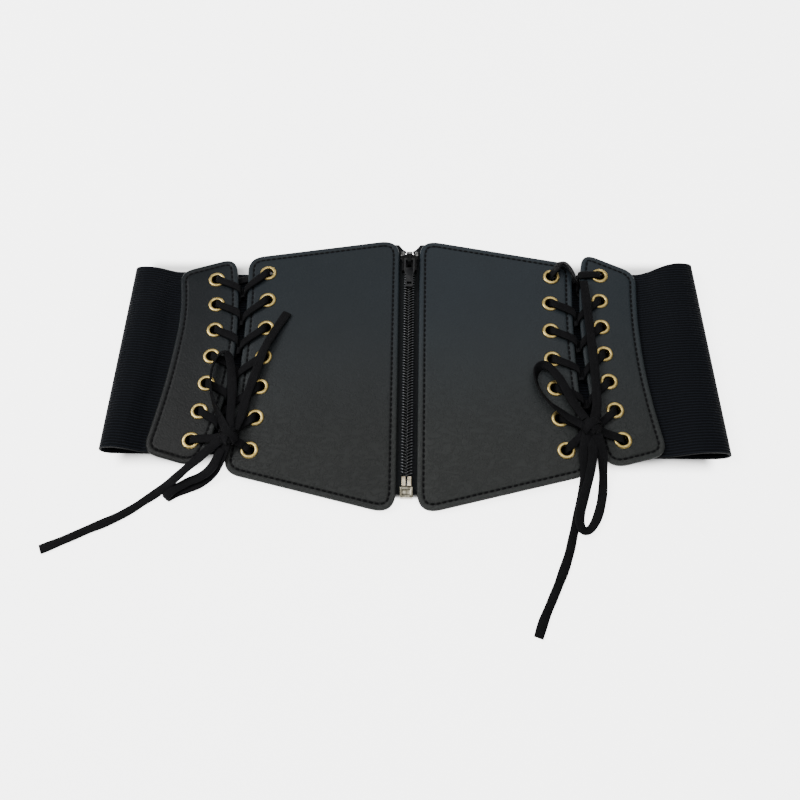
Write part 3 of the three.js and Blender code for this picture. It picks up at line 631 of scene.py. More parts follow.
@dataclass(frozen=True)
class RibbedElastic:
    """Black elastic with fine ribs along the band, a little wavy, and a knitted break in each rib."""

    dark: Colour = (0.001, 0.0013, 0.0019)
    light: Colour = (0.0046, 0.0056, 0.0082)
    pitch: float = 0.0016
    stitch: float = 0.0011

    def material(self) -> Material:
        """Builds the finish."""
        s = Shader("ribbed_elastic")
        along, across = s.lay()
        drift = s.noise(s.node("ShaderNodeCombineXYZ", None, {0: along, 1: across * 0.35}), 70.0, 2.0)
        wander = across + drift * 0.0011
        rib = (wander * (TURN / self.pitch)).wave()
        knit = (along * (TURN / self.stitch) + wander * (math.pi / self.pitch)).wave()
        fuzz = s.noise(s.place(), 2600.0, 2.0)
        height = rib * 0.8 + knit * rib * 0.22 + fuzz * 0.2
        colour = s.mix(height.ramp(0.25, 1.0), self.dark, self.light)
        normal = s.bump(height, 0.00034, 0.85)
        return s.finish(
            Base_Color=colour, Roughness=0.62 + fuzz * 0.2, Normal=normal, Specular_IOR_Level=0.06)


@dataclass(frozen=True)
class FlatLace:
    """Flat black lace, woven in a fine herringbone with a soft sheen."""

    dark: Colour = (0.0006, 0.0006, 0.0008)
    light: Colour = (0.0036, 0.0036, 0.0044)
    thread: float = 0.00062

    def material(self) -> Material:
        """Builds the finish."""
        s = Shader("flat_lace")
        along, across = s.lay()
        turn = TURN / self.thread
        weave = (along * turn + across.size() * turn).wave()
        rows = (across * (turn * 0.8)).wave()
        fuzz = s.noise(s.place(), 3800.0, 2.0)
        height = weave * 0.5 + rows * 0.3 + fuzz * 0.3
        sheen = (height * 0.6 + s.noise(s.place(), 240.0) * 0.5).ramp(0.25, 0.95)
        return s.finish(
            Base_Color=s.mix(sheen, self.dark, self.light), Roughness=0.6 + fuzz * 0.2,
            Normal=s.bump(height, 0.00014, 0.8), Specular_IOR_Level=0.08)


@dataclass(frozen=True)
class WovenTape:
    """The zip's black tape, with fine ribs across it and threads along it."""

    dark: Colour = (0.002, 0.0024, 0.0026)
    light: Colour = (0.0088, 0.0102, 0.0115)
    pitch: float = 0.0009

    def material(self) -> Material:
        """Builds the finish."""
        s = Shader("woven_tape")
        x, y = s.axes(s.place())
        turn = TURN / self.pitch
        slant = ((x + y) * turn).sine() * ((x - y) * turn).sine() * 0.5 + 0.5
        fuzz = s.noise(s.place(), 3000.0, 2.0)
        height = slant * 0.7 + fuzz * 0.3
        colour = s.mix(height.ramp(0.2, 0.9), self.dark, self.light)
        return s.finish(
            Base_Color=colour, Roughness=0.75 + fuzz * 0.15, Normal=s.bump(height, 0.00018, 0.8),
            Specular_IOR_Level=0.12)


@dataclass(frozen=True)
class Enamel:
    """Hard finishes, metal or nylon: a colour with fine scuffs and a faint orange peel."""

    name: str
    dark: Colour
    light: Colour
    metal: float
    roughness: float
    scuff: float = 0.1
    peel: float = 0.00002
    specular: float = 0.5

    def material(self) -> Material:
        """Builds the finish."""
        s = Shader(self.name)
        cloud = s.noise(s.place(), 420.0, 4.0, 0.6)
        fine = s.noise(s.place(), 1900.0, 2.0)
        colour = s.mix(cloud.ramp(0.35, 0.7), self.dark, self.light)
        rough = self.roughness + (cloud - 0.5) * self.scuff
        return s.finish(
            Base_Color=colour, Roughness=rough, Metallic=self.metal, Normal=s.bump(fine, self.peel, 0.6),
            Specular_IOR_Level=self.specular)


BRASS = Enamel("antique_brass", (0.3, 0.22, 0.072), (0.56, 0.425, 0.16), 1.0, 0.36, 0.12)
METALS = {
    "box": Enamel("bright_nickel", (0.06, 0.055, 0.04), (0.27, 0.25, 0.195), 1.0, 0.17),
    "pin": Enamel("pale_nickel", (0.26, 0.225, 0.16), (0.52, 0.46, 0.35), 1.0, 0.28),
    "stop": Enamel("dark_nickel", (0.03, 0.03, 0.031), (0.15, 0.15, 0.145), 1.0, 0.2),
    "slider": Enamel(
        "slider_enamel", (0.0006, 0.0007, 0.0008), (0.002, 0.0021, 0.0024), 0.0, 0.36, specular=0.09),
    "tab": Enamel(
        "black_enamel", (0.0042, 0.0044, 0.005), (0.0085, 0.0088, 0.0095), 0.0, 0.38, specular=0.2),
}


@dataclass(frozen=True)
class CoilNylon:
    """The chain's black nylon, with painted glints where the coils turn back and where their heads meet."""

    dark: Colour = (0.0008, 0.0009, 0.001)
    # pale: the painted glints' colour.
    pale: Colour = (0.06, 0.062, 0.067)
    roughness: float = 0.2

    def material(self) -> Material:
        """Builds the finish; the wire's own coordinates say where on its turn a place is, out and up."""
        s = Shader("black_nylon")
        out, up = s.lay()
        aside, above = out * (0.8 / MM), up * (0.6 / MM)
        # Painted glints: pale up and out on each turn, fainter where the heads meet.
        turn_painted_glint = (aside + above).ramp(0.74, 1.0)
        heads = (above - aside).ramp(0.7, 1.0)
        fine = s.noise(s.place(), 1900.0, 2.0)
        factor = (turn_painted_glint + heads * 0.35) * (0.6 + fine * 0.6)
        colour = s.mix(factor.ramp(0.0, 1.0), self.dark, self.pale)
        return s.finish(
            Base_Color=colour, Roughness=self.roughness + fine * 0.1, Specular_IOR_Level=0.35,
            Normal=s.bump(fine, 0.00002, 0.6))


# Leather panels


@dataclass
class LeatherPanel:
    """One panel: a padded sheet with a turned edge, a stitch line sunk into it and punched holes."""

    cut: Cut
    lip: tuple = (
        (2.0, 0.0), (0.8, 0.06), (0.3, 0.25), (0.08, 0.5), (0.0, 0.9), (0.06, 1.3), (0.26, 1.66),
        (0.62, 1.88), (1.15, 1.99), (1.9, 2.0), (2.5, 1.93), (2.95, 1.74), (3.3, 1.58), (3.65, 1.74),
        (4.1, 1.93), (4.8, 2.02),
    )
    rings: int = 22
    side_steps: int = 46
    puff: float = 0.1
    hole: float = 3.55
    hole_sides: int = 24
    hole_levels: tuple[float, float] = (-2.0, 4.5)
    stitch_inset: float = 3.3
    stitch_pitch: float = 3.1
    stitch_size: tuple[float, float, float] = (1.2, 0.47, 0.26)
    stitch_height: float = 1.72
    stitch_dip: float = 0.12
    stitch_skew: float = 0.09
    stitch_steps: tuple[int, int] = (6, 6)

    def inset(self, depths: Array) -> Array:
        """The outline, and rings at given distances inside it.

        At a rounded corner of radius r a ring at distance d keeps d / (1 + (d / 0.95 r)^6)^(1/6), so
        that it never folds over itself.

        Args:
            depths: the distances.

        Returns:
            One ring for each distance.
        """
        line = self.cut.outline(self.side_steps)
        ahead, back = np.roll(line, -1, 0) - line, line - np.roll(line, 1, 0)
        tangent = unit(ahead + back)
        inwards = np.stack([tangent[:, 1], -tangent[:, 0]], -1)
        turn = back[:, 1] * ahead[:, 0] - back[:, 0] * ahead[:, 1]
        there, here = np.linalg.norm(ahead, axis=1), np.linalg.norm(back, axis=1)
        bend = np.maximum(turn / (there * here), 0) * 2 / (there + here)
        bend = np.maximum.reduce([np.roll(bend, k) for k in (-1, 0, 1)])
        deep = np.asarray(depths, float)[:, None]
        kept = deep / (1 + (deep * bend / 0.95) ** 6) ** (1 / 6)
        return line[None] + inwards[None] * kept[..., None]

    def spine(self, line: Array) -> Array:
        """The place on the panel's middle line that each outline point shrinks towards."""
        corners = (self.cut.top_inner, self.cut.top_outer, self.cut.bottom_outer, self.cut.bottom_inner)
        y = [self.cut.corner_at(corner)[1] for corner in corners]
        margin = 0.3 * self.cut.width
        level = np.clip(line[:, 1], max(y[2:]) + margin, min(y[:2]) - margin)
        middle = (self.cut.edge_at(Edge.INNER, level) + self.cut.edge_at(Edge.OUTER, level)) / 2
        return np.stack([middle, level], -1)

    def lift(self, flat: Array, height: Array) -> Array:
        """Points over the front layer: its underside plus a height, moved to the belt's half."""
        out, y = flat[..., 0], flat[..., 1]
        z = LIE.underside(out, y) + height
        return np.stack([ZIP_X + self.cut.side.value * out, y, z], -1)

    def sheet(self, finish: Material) -> Piece:
        """The leather itself, its pattern laid by the distance from its edge and the stitch's number.

        Rings go round the outline: over the lip's profile at growing insets, then shrinking towards
        the panel's middle line. The same is done for the underside, and both close along that line.

        Args:
            finish: the leather's material.

        Returns:
            The panel, with its seven holes cut.
        """
        depths, height = np.array(self.lip).T
        lip = self.inset(depths)
        spine = self.spine(lip[-1])
        shrink = np.linspace(0, 0.97, self.rings + 1)[1:, None, None]
        over = spine + (lip[-1] - spine)[None] * (1 - shrink)
        under = spine + (lip[0] - spine)[None] * (1 - shrink)
        flat = np.concatenate([under[::-1], lip, over])
        rise = np.concatenate([np.zeros(len(under)), height, np.full(len(over), height[-1])])
        shares = shrink[:, 0, 0]
        puff = np.concatenate([np.zeros(len(under) + len(lip)), self.puff * smoothstep(shares, 0, 0.6)])
        points = self.lift(flat, (rise + puff)[:, None])
        rows, cols = flat.shape[:2]
        k, axis = np.arange(cols // 2), self.side_steps // 2
        ahead, back = (axis + k) % cols, (axis - k) % cols
        seam = np.stack([ahead, (ahead + 1) % cols, (back - 1) % cols, back], -1)
        seam = [list(dict.fromkeys(face)) for face in seam.tolist()]
        ends = [face[::-1] for face in seam] + [[v + (rows - 1) * cols for v in face] for face in seam]
        every = [*grid_faces(rows, cols, closed_cols=True).tolist(), *ends]
        every = every if self.cut.side is Side.LEFT else [face[::-1] for face in every]
        inwards = np.concatenate([np.full(len(under), depths[0]), depths, depths[-1] + 9 * shares])
        _, reach, count = self.stitch_line()
        stitch = reach[:-1] / reach[-1] * count
        lay = np.stack(np.broadcast_arrays(inwards[:, None], stitch[None]), -1)
        shell = Shell().add(points, every, lay)
        panel = shell.build(f"{self.cut.kind}_leather_{self.cut.side.word}", finish)
        self.punch(panel)
        return panel

    def punch(self, panel: Piece) -> None:
        """Cuts the eyelet holes with one cutter of seven cylinders."""
        shell, sides = Shell(), self.hole_sides
        angle = round_turn(sides)
        ring = np.stack([np.cos(angle) * self.hole, np.sin(angle) * self.hole], -1)
        levels = [np.concatenate([ring, np.full((sides, 1), z)], 1) for z in self.hole_levels]
        for index in range(PAIRS):
            turn, foot = LIE.seated(self.cut.side, *self.cut.eyelet(index))
            shell.add(np.concatenate(levels) @ turn + foot, tube_faces(2, sides))
        cutter = shell.build("hole_cutter", panel.data.materials[0])
        modifier = panel.modifiers.new("holes", "BOOLEAN")
        modifier.operation, modifier.object, modifier.solver = "DIFFERENCE", cutter, "MANIFOLD"
        settle(panel, 42)
        bpy.data.objects.remove(cutter)

    def stitch_line(self) -> tuple[Array, Array, int]:
        """The closed stitch line, the distance along it at each point, and how many stitches it has."""
        route = self.inset(np.array([self.stitch_inset]))[0]
        loop = np.concatenate([route, route[:1]])
        reach = reach_along(loop)
        return loop, reach, round(reach[-1] / self.stitch_pitch)

    def stitches(self, finish: Material) -> Piece:
        """The thread along the stitch line: a row of short capsules, each a little askew.

        Args:
            finish: the thread's material.

        Returns:
            All stitches of the panel as one mesh.
        """
        loop, reach, count = self.stitch_line()
        at = np.arange(count) * reach[-1] / count
        here = np.stack([np.interp(at, reach, loop[:, k]) for k in (0, 1)], -1)
        ahead = np.stack([np.interp((at + 0.5) % reach[-1], reach, loop[:, k]) for k in (0, 1)], -1)
        way = unit(ahead - here)
        way = unit(way + self.stitch_skew * np.stack([-way[:, 1], way[:, 0]], -1))
        left = np.stack([-way[:, 1], way[:, 0]], -1)
        long, wide, deep = self.stitch_size
        stations, sides = self.stitch_steps
        t, angle = np.linspace(0, np.pi, stations), round_turn(sides)
        bulge = (np.sin(t) ** 0.5 + 0.04)[:, None]
        along, sideways = -np.cos(t) * long, wide * bulge * np.cos(angle)
        flat = (here[:, None, None] + way[:, None, None] * along[None, :, None, None]
                + left[:, None, None] * sideways[None, :, :, None])
        upward = deep * bulge * np.sin(angle) - self.stitch_dip * np.cos(t)[:, None] ** 2
        points = self.lift(flat, self.stitch_height + upward[None])
        one = tube_faces(stations, sides, self.cut.side is Side.LEFT)
        every = [[v + k * stations * sides for v in face] for k in range(count) for face in one]
        return Shell().add(points, every).build(f"{self.cut.kind}_stitches_{self.cut.side.word}", finish)


@dataclass
class EyeletColumn:
    """A column of seven rolled brass eyelets: one profile turned round, seven times."""

    cut: Cut
    profile: tuple = (
        (2.72, -0.15), (2.74, 1.9), (2.8, 2.4), (2.95, 2.68), (3.25, 2.83), (3.75, 2.88), (4.2, 2.8),
        (4.5, 2.6), (4.7, 2.32), (4.76, 2.1), (4.7, 2.0), (3.32, 1.98), (3.3, 0.0), (3.1, -0.25),
    )
    sides: int = 40

    def column(self, finish: Material) -> Piece:
        """All seven as one mesh, each standing square on the leather."""
        radius, height = np.array(self.profile).T
        angle = round_turn(self.sides)
        ring = np.stack([
            radius[:, None] * np.cos(angle), radius[:, None] * np.sin(angle),
            np.broadcast_to(height[:, None], (len(radius), self.sides))], -1)
        faces = grid_faces(len(radius), self.sides, closed_rows=True, closed_cols=True)
        shell = Shell()
        for index in range(PAIRS):
            turn, foot = LIE.seated(self.cut.side, *self.cut.eyelet(index))
            shell.add(ring @ turn + foot, faces[:, ::-1])
        return shell.build(f"eyelets_{self.cut.name}", finish)


# Elastic band


@dataclass
class ElasticBand:
    """The band: from under one side panel round the fold, along the table and back again."""

    thick: float = 1.2
    height: float = 112.0
    middle: float = 5.5
    seam: float = 9.0
    flare: float = 4.3
    rise: float = 9.4
    lean: float = 6.4
    lean_shares: tuple[float, float] = (0.45, 0.85)
    loop_width: float = 327.0
    ripple: float = 0.35
    ripple_waves: tuple[float, float, float] = (13.0, 9.0, 21.0)
    ripple_above: tuple[float, float] = (5.0, 8.5)
    rows: tuple = (
        (-1, None), (0, None), (0.2, 0.46), (0.38, 0.74), (0.56, 0.94), (0.74, 1), (0.89, 0.93),
        (0.975, 0.75), (1, 0.48), (0.975, 0.24), (0.9, 0.1), (0.78, 0), (0.3, 0),
    )

    def half(self, side: Side, share: Array) -> Array:
        """The wall's middle at each row of one half, for each share of the band's height.

        Args:
            side: the belt's half.
            share: shares of the height, from the lower edge.

        Returns:
            Points, one row of the table after another.
        """
        cut = CUTS[f"side_{side.word}"]
        right = side is Side.RIGHT
        lines = []
        for run, up in self.rows:
            flare = self.flare * smoothstep(run, 0, 0.8) * share if right else 0
            y = self.middle + (share - 0.5) * self.height + flare
            fold = self.loop_width / 2 - self.thick / 2 - side.value * ZIP_X
            fold = fold - self.lean * share * self.lean_shares[right]
            edge = cut.edge_at(Edge.OUTER, y)
            out = edge + run * self.seam if run < 0 else edge + (fold - edge) * run
            under = LIE.underside(out, y) - CLEAR - self.thick / 2
            z = under if up is None else np.full_like(share, self.thick / 2 + up * (self.rise - self.thick))
            lines.append(np.stack([ZIP_X + side.value * out, y, np.maximum(z, self.thick / 2)], -1))
        return np.stack(lines)

    def wall(self, finish: Material, run_steps: int = 300, up_steps: int = 60) -> Piece:
        """The band as a closed wall: a smooth curve through the rows, moved half a thickness each way.

        Args:
            finish: the elastic's material.
            run_steps: points round the loop.
            up_steps: points up the band.

        Returns:
            The band.
        """
        share = np.linspace(0, 1, up_steps)
        path = np.concatenate([self.half(Side.LEFT, share), self.half(Side.RIGHT, share)[::-1]])
        reach = reach_along(path[:, up_steps // 2])
        at = np.interp(np.linspace(0, 1, run_steps), np.linspace(0, 1, len(reach)), reach)
        line = ease(reach, path.reshape(len(path), -1), at).reshape(run_steps, up_steps, 3)
        round_it, up_it, drift = self.ripple_waves
        slanting = np.sin(line[..., 1] / up_it + at[:, None] / drift)
        ripple = self.ripple * np.sin(at / round_it)[:, None] * slanting
        along = np.gradient(line, axis=0)
        along[..., 1] = 0
        along = unit(along)
        normal = np.stack([-along[..., 2], np.zeros_like(along[..., 0]), along[..., 0]], -1)
        free = smoothstep(line[..., 2], *self.ripple_above)
        line = line + normal * (ripple * free)[..., None]
        outer, inner = line + normal * self.thick / 2, line - normal * self.thick / 2
        ring = np.concatenate([outer, inner[:, ::-1]], 1)
        lay = np.stack([np.broadcast_to(at[:, None], line.shape[:2]), line[..., 1]], -1)
        faces = tube_faces(run_steps, 2 * up_steps)
        shell = Shell().add(ring, faces, np.concatenate([lay, lay[:, ::-1]], 1))
        return shell.build("elastic_wall", finish, sharp=50)


# Lace


def lace_frames(points: Array, looks: Array, across: Array) -> tuple[Array, Array]:
    """The way the lace's flat face looks and the way its width runs, at each station.

    The look is squared to the path, unless the station says which way its width runs. Then each
    pair is turned over where that is nearer to the pair before it, so the lace never flips.

    Args:
        points: the stations.
        looks: where the flat face should look.
        across: the width's way where it is given, else zeros.

    Returns:
        The looks and the widths' ways.
    """
    tangent = np.gradient(points, axis=0)
    tangent[1:-1] = points[2:] - points[:-2]
    tangent = unit(tangent)
    given = np.linalg.norm(across, axis=1) > 0
    squared = unit(looks - tangent * np.sum(looks * tangent, 1, keepdims=True))
    look = np.where(given[:, None], looks, squared)
    width = np.cross(tangent, look)
    sign = np.sign(np.sum(across * width, 1))
    width = np.where(given[:, None], across * sign[:, None], width)
    agree = np.sum(look[1:] * look[:-1], 1) + np.sum(unit(width[1:]) * unit(width[:-1]), 1)
    keep = np.concatenate([[1], np.cumprod(np.where(agree < 0, -1, 1))])[:, None]
    return look * keep, width * keep


@dataclass
class LaceRun:
    """A length of flat lace along stations: point, look and, where it bends slantwise, width's way."""

    points: Array
    looks: Array
    across: Array
    width: float = 4.4
    thick: float = 1.2
    step: float = 0.8
    sides: int = 14
    bluntness: tuple[float, float] = (0.55, 0.8)

    def line(self) -> tuple[Array, Array, Array, Array]:
        """The fine path: distances along it, points, looks and widths' ways."""
        look, width = lace_frames(self.points, self.looks, self.across)
        reach = reach_along(self.points)
        at = np.linspace(0, reach[-1], max(int(reach[-1] / self.step), 12))
        fine = ease(reach, np.concatenate([self.points, look, width], 1), at)
        return at, fine[:, :3], fine[:, 3:6], fine[:, 6:]

    def mesh(self, shell: Shell) -> Shell:
        """Adds the lace: a flat rounded section carried along the path, both ends closed.

        Args:
            shell: the shell that takes it.

        Returns:
            The shell.
        """
        at, line, look, width = self.line()
        angle = round_turn(self.sides)
        c, s = np.cos(angle), np.sin(angle)
        flat, edge = self.bluntness
        deep = np.sign(c) * np.abs(c) ** flat * self.thick / 2
        wide = np.sign(s) * np.abs(s) ** edge * self.width / 2
        swell = 1 + 0.05 * np.sin(at / 5.1) + 0.03 * np.sin(at / 2.3 + 1)
        ring = (line[:, None] + look[:, None] * deep[None, :, None]
                + width[:, None] * (wide[None, :] * swell[:, None])[..., None])
        lay = np.stack(np.broadcast_arrays(at[:, None], wide[None, :]), -1)
        return shell.add(ring, tube_faces(len(line), self.sides, True), lay)


@dataclass
class Knot:
    """A bow's knot: a puckered lump, with two turns of lace wound over it."""

    side: Side
    x: float
    y: float
    slant: float
    long: float = 10.4
    wide: float = 8.6
    deep: float = 5.2
    lift: float = 5.3
    rings: int = 22
    sides: int = 44
    wraps: tuple = ((0, 5.0, 3.3, 0.2), (96, 4.5, 2.7, -0.4))
    wrap_span: tuple[float, float] = (-38, 218)
    wrap_width: float = 3.9

    @property
    def centre(self) -> Array:
        """The knot's middle."""
        z = LIE.underside(self.x, self.y) + LEATHER_THICK + self.lift
        return np.array([ZIP_X + self.side.value * self.x, self.y, float(z)])

    def turn_over(self, angle: float, reach: float, top: float, shift: float) -> LaceRun:
        """A turn of lace over the lump: half an ellipse that stands on a line through its middle.

        Args:
            angle: that line's direction in degrees, counter-clockwise from +X.
            reach: half the ellipse's width.
            top: its height.
            shift: how far it stands beside the middle.

        Returns:
            The lace.
        """
        a = math.radians(angle)
        way = np.array([math.cos(a), math.sin(a), 0.0])
        beside = np.array([-math.sin(a), math.cos(a), 0.0])
        t = np.radians(np.linspace(*self.wrap_span, 15))[:, None]
        sway = beside * (shift + 0.7 * np.sin(t * 1.3))
        points = self.centre + way * np.cos(t) * reach + UP * np.sin(t) * top + sway
        looks = unit(way * np.cos(t) * top + UP * np.sin(t) * reach)
        return LaceRun(points, looks, np.zeros_like(points), width=self.wrap_width)

    def build(self, finish: Material) -> Piece:
        """The knot as one piece: an ellipsoid with shallow furrows, and the two turns."""
        t, p = np.linspace(0.05, np.pi - 0.05, self.rings)[:, None], round_turn(self.sides)[None]
        t, p = np.broadcast_arrays(t, p)
        furrow = 1 + 0.07 * np.sin(5 * p + 2.2 * t) + 0.04 * np.sin(9 * p - 3 * t)
        size = np.array([self.long, self.wide, self.deep]) / 2
        ball = np.stack([np.sin(t) * np.cos(p), np.sin(t) * np.sin(p), np.cos(t)], -1)
        ball = ball * furrow[..., None] * size
        lay = np.stack([p * 4.0, t * 3.0], -1)
        shell = Shell().add(ball + self.centre, tube_faces(self.rings, self.sides, True), lay)
        for further, *sizes in self.wraps:
            self.turn_over(self.slant + further, *sizes).mesh(shell)
        return shell.build(f"knot_wraps_{self.side.word}", finish)


KNOTS = {Side.LEFT: Knot(Side.LEFT, 92.0, -44.5, -42), Side.RIGHT: Knot(Side.RIGHT, 94.8, -37.7, 33)}

# How far down a lace drops from its eyelet to where it dives into the gap, pair by pair
DROPS = {
    Side.LEFT: {"side": (7,) * 6, "front": (12,) * 6},
    Side.RIGHT: {"side": (0.6, 12, 12, 12, 12, 12), "front": (5.4, 7, 7, 7, 7, 7)},
}


@dataclass
class Lacing:
    """One side's lacing: two strands that swap panels at each pair of eyelets, down to the knot."""

    side: Side
    over_rim: float = 1.72
    on_leather: float = 0.9
    slack: float = 8.5
    arch_off: float = 2.2
    arch_lift: float = 2.9
    arch_shares: tuple = (0.12, 0.24, 0.36, 0.48, 0.6, 0.72, 0.83, 0.92)
    eye_levels: tuple[float, float] = (-1.8, 0.2)
    gap_fall: float = 2.2
    pass_depth: float = 1.6
    pass_reach: float = 2.2
    into_knot: tuple = ((8.6, -3.2), (6.1, -2.2), (2.4, -1.2))

    def cut(self, kind: str) -> Cut:
        """The pattern of this side's panel of that kind."""
        return CUTS[f"{kind}_{self.side.word}"]

    def edge(self, kind: str, y: float) -> float:
        """How far out the panel's edge along the gap lies."""
        return float(self.cut(kind).edge_at(Edge.OUTER if kind == "front" else Edge.INNER, y))

    @staticmethod
    def top_of(x: float, y: float) -> float:
        """The height of the leather's upper face."""
        return float(LIE.underside(x, y)) + LEATHER_THICK

    def through(self, kind: str, index: int) -> list[Station]:
        """Straight up through an eyelet."""
        x, y = self.cut(kind).eyelet(index)
        return [(np.array([x, y, self.top_of(x, y) + z]), OUTWARD, NONE) for z in self.eye_levels]

    def rim(self, kind: str, index: int, goal: Array) -> list[Station]:
        """Over an eyelet's rim towards a place on the leather."""
        eye = self.cut(kind).eyelet(index)
        way = unit(goal - eye)
        slant = unit(np.array([-math.copysign(1, way[0]), 0, 1]))
        top = self.top_of(*eye)
        return [
            (np.array([*(eye + way * 1.0), top + self.over_rim - 0.1]), slant, NONE),
            (np.array([*(eye + way * 3.0), top + self.over_rim + 0.1]), UP, NONE),
        ]

    def beside(
            self, kind: str, y: float, way: int, height: float, up: int, off: float = 0.0) -> list[Station]:
        """Round one edge of the gap, or that far off it: over or under the leather, and down the gap."""
        slope = (self.edge(kind, y + 1) - self.edge(kind, y - 1)) / 2
        face = unit(np.array([1, -slope, 0]))
        across = unit(np.array([slope, 1, 0])) * 1.1
        slant = unit(face * way * up + UP)
        x = self.edge(kind, y) + way * off
        return [
            (face * way * 0.9 + [x, y, height + up * 0.8], slant, across),
            (face * way * 1.15 + [x, y - up * 0.9, height - up * 0.7], face, across),
        ]

    def arch(self, near: float, dive: float) -> list[Station]:
        """The right front strand's slack first length, up over the leather in an arch.

        Args:
            near: how far out the panel's edge is where the strand dives.
            dive: the height at which it dives into the gap.

        Returns:
            The stations from its eyelet's rim to the gap.
        """
        x, y = self.cut("front").eyelet(0)
        z = self.top_of(near, dive) + CLEAR + self.arch_lift
        wide, high = near + self.arch_off - x - 1, self.slack * 1.2
        stations = self.rim("front", 0, np.array([x + (near - x) * 0.1, y + self.slack * 0.6]))[:1]
        for t in self.arch_shares:
            place = [x + 1 + wide * t, y + (dive - y) * t + high * math.sin(math.pi * t), z]
            look = [t - 0.5, 0.4 + 0.5 * t, 1 - 0.25 * t]
            stations.append((np.array(place), np.array(look), NONE))
        return stations

    def crossing(self, kind: str, index: int) -> list[Station]:
        """From one eyelet over its panel, down the gap and under the other panel."""
        far, way = ("side", 1) if kind == "front" else ("front", -1)
        dive = self.cut(kind).eyelet(index)[1] - DROPS[self.side][kind][index]
        near = self.edge(kind, dive)
        lip = self.top_of(near, dive)
        low = dive - self.gap_fall
        floor = float(LIE.underside(self.edge(far, low), low))
        nx, ny = self.cut(far).eyelet(index + 1)
        arched = self.side is Side.RIGHT and kind == "front" and index == 0
        over = self.arch(near, dive) if arched else self.rim(kind, index, np.array([near, dive]))
        off = self.arch_off if arched else 0.0
        under = float(LIE.underside(nx, ny)) - self.on_leather - 0.05
        return [
            *self.through(kind, index), *over,
            *self.beside(kind, dive, way, lip, 1, off),
            *self.beside(far, low, -way, floor, -1)[::-1],
            (np.array([nx - way * 2.4, ny + 1, under]), UP, NONE),
        ]

    def ending(self, kind: str) -> list[Station]:
        """From the last eyelet into the knot."""
        knot = KNOTS[self.side]
        goal = np.array([knot.x, knot.y])
        last = PAIRS - 1
        way = unit(goal - self.cut(kind).eyelet(last))
        top = self.top_of(*goal) + knot.lift
        return [
            *self.through(kind, last), *self.rim(kind, last, goal),
            *[(np.array([*(goal - way * reach), top + z]), UP, NONE) for reach, z in self.into_knot],
        ]

    def strand(self, kind: str) -> list[Station]:
        """One strand, from the top eyelet of that panel to the knot."""
        stations = []
        for index in range(PAIRS - 1):
            stations += self.crossing(kind, index)
            kind = "side" if kind == "front" else "front"
        return stations + self.ending(kind)

    def build(self, finish: Material) -> Piece:
        """The whole lace, its two strands joined under the panels at the top pair."""
        passing = []
        for kind, way in (("side", -1), ("front", 1)):
            x, y = self.cut(kind).eyelet(0)
            under = float(LIE.underside(x, y)) - self.pass_depth
            passing.append((np.array([x + way * self.pass_reach, y, under]), UP, NONE))
        whole = [*self.strand("side")[::-1], *passing, *self.strand("front")]
        mirror = np.array([self.side.value, 1, 1])
        points, looks, across = (np.array([station[k] for station in whole]) * mirror for k in range(3))
        points[:, 0] += ZIP_X
        run = LaceRun(points, looks, across, step=0.7)
        return run.mesh(Shell()).build(f"lacing_lace_{self.side.word}", finish, sharp=60)


@dataclass
class FreeLace:
    """A loop or tail of a bow.

    Each row is the distance from the zip, the height on the belt, the height over the table and,
    where it isn't 0, the lace's roll in degrees, 90 being on its edge.
    """

    name: str
    side: Side
    ends: str
    rows: tuple
    into_knot: float = 2.6
    width: float = 4.8

    def route(self) -> tuple[Array, Array]:
        """The stations on the belt's own side, drawn out a little into the knot, and the rolls."""
        table = np.array([(*row, 0)[:4] for row in self.rows], float)
        points = table[:, :3] * [self.side.value, 1, 1] + [ZIP_X, 0, 0]
        knot = KNOTS[self.side].centre
        ends = [0] if self.ends == "bare" else [0, -1]
        drawn = points.copy()
        for end in ends:
            drawn[end] += unit(knot - points[end]) * self.into_knot
        return drawn, np.radians(table[:, 3])

    def smooth(self) -> tuple[Array, Array]:
        """A rounder path through the stations, a Catmull-Rom curve with six points a span."""
        points, roll = self.route()
        padded = np.concatenate([2 * points[:1] - points[1:2], points, 2 * points[-1:] - points[-2:-1]])
        t = np.linspace(0, 1, 7)[:-1][:, None, None]
        a, b, c, d = padded[:-3], padded[1:-2], padded[2:-1], padded[3:]
        square, cube = 2 * a - 5 * b + 4 * c - d, 3 * b - a - 3 * c + d
        spans = 0.5 * (2 * b + (c - a) * t + square * t**2 + cube * t**3)
        path = np.concatenate([spans.transpose(1, 0, 2).reshape(-1, 3), points[-1:]])
        rolls = np.interp(np.linspace(0, len(roll) - 1, len(path)), np.arange(len(roll)), roll)
        return path, rolls

    def build(self, finish: Material) -> Piece:
        """The lace, in place of the part's free cord of that name."""
        path, roll = self.smooth()
        tangent = unit(np.gradient(path, axis=0))
        side = np.cross(tangent, UP)
        turn = roll[:, None] * self.side.value
        looks = UP * np.cos(turn) + side * np.sin(turn)
        looks = np.where(np.linalg.norm(side, axis=1, keepdims=True) < 1e-6, OUTWARD, looks)
        run = LaceRun(path, looks, np.zeros_like(path), width=self.width)
        piece = run.mesh(Shell()).build(f"{self.name}_lace", finish, sharp=60)
        fit(piece, "lace", "belt", self.name)
        line = run.line()[1] * MM
        return piece


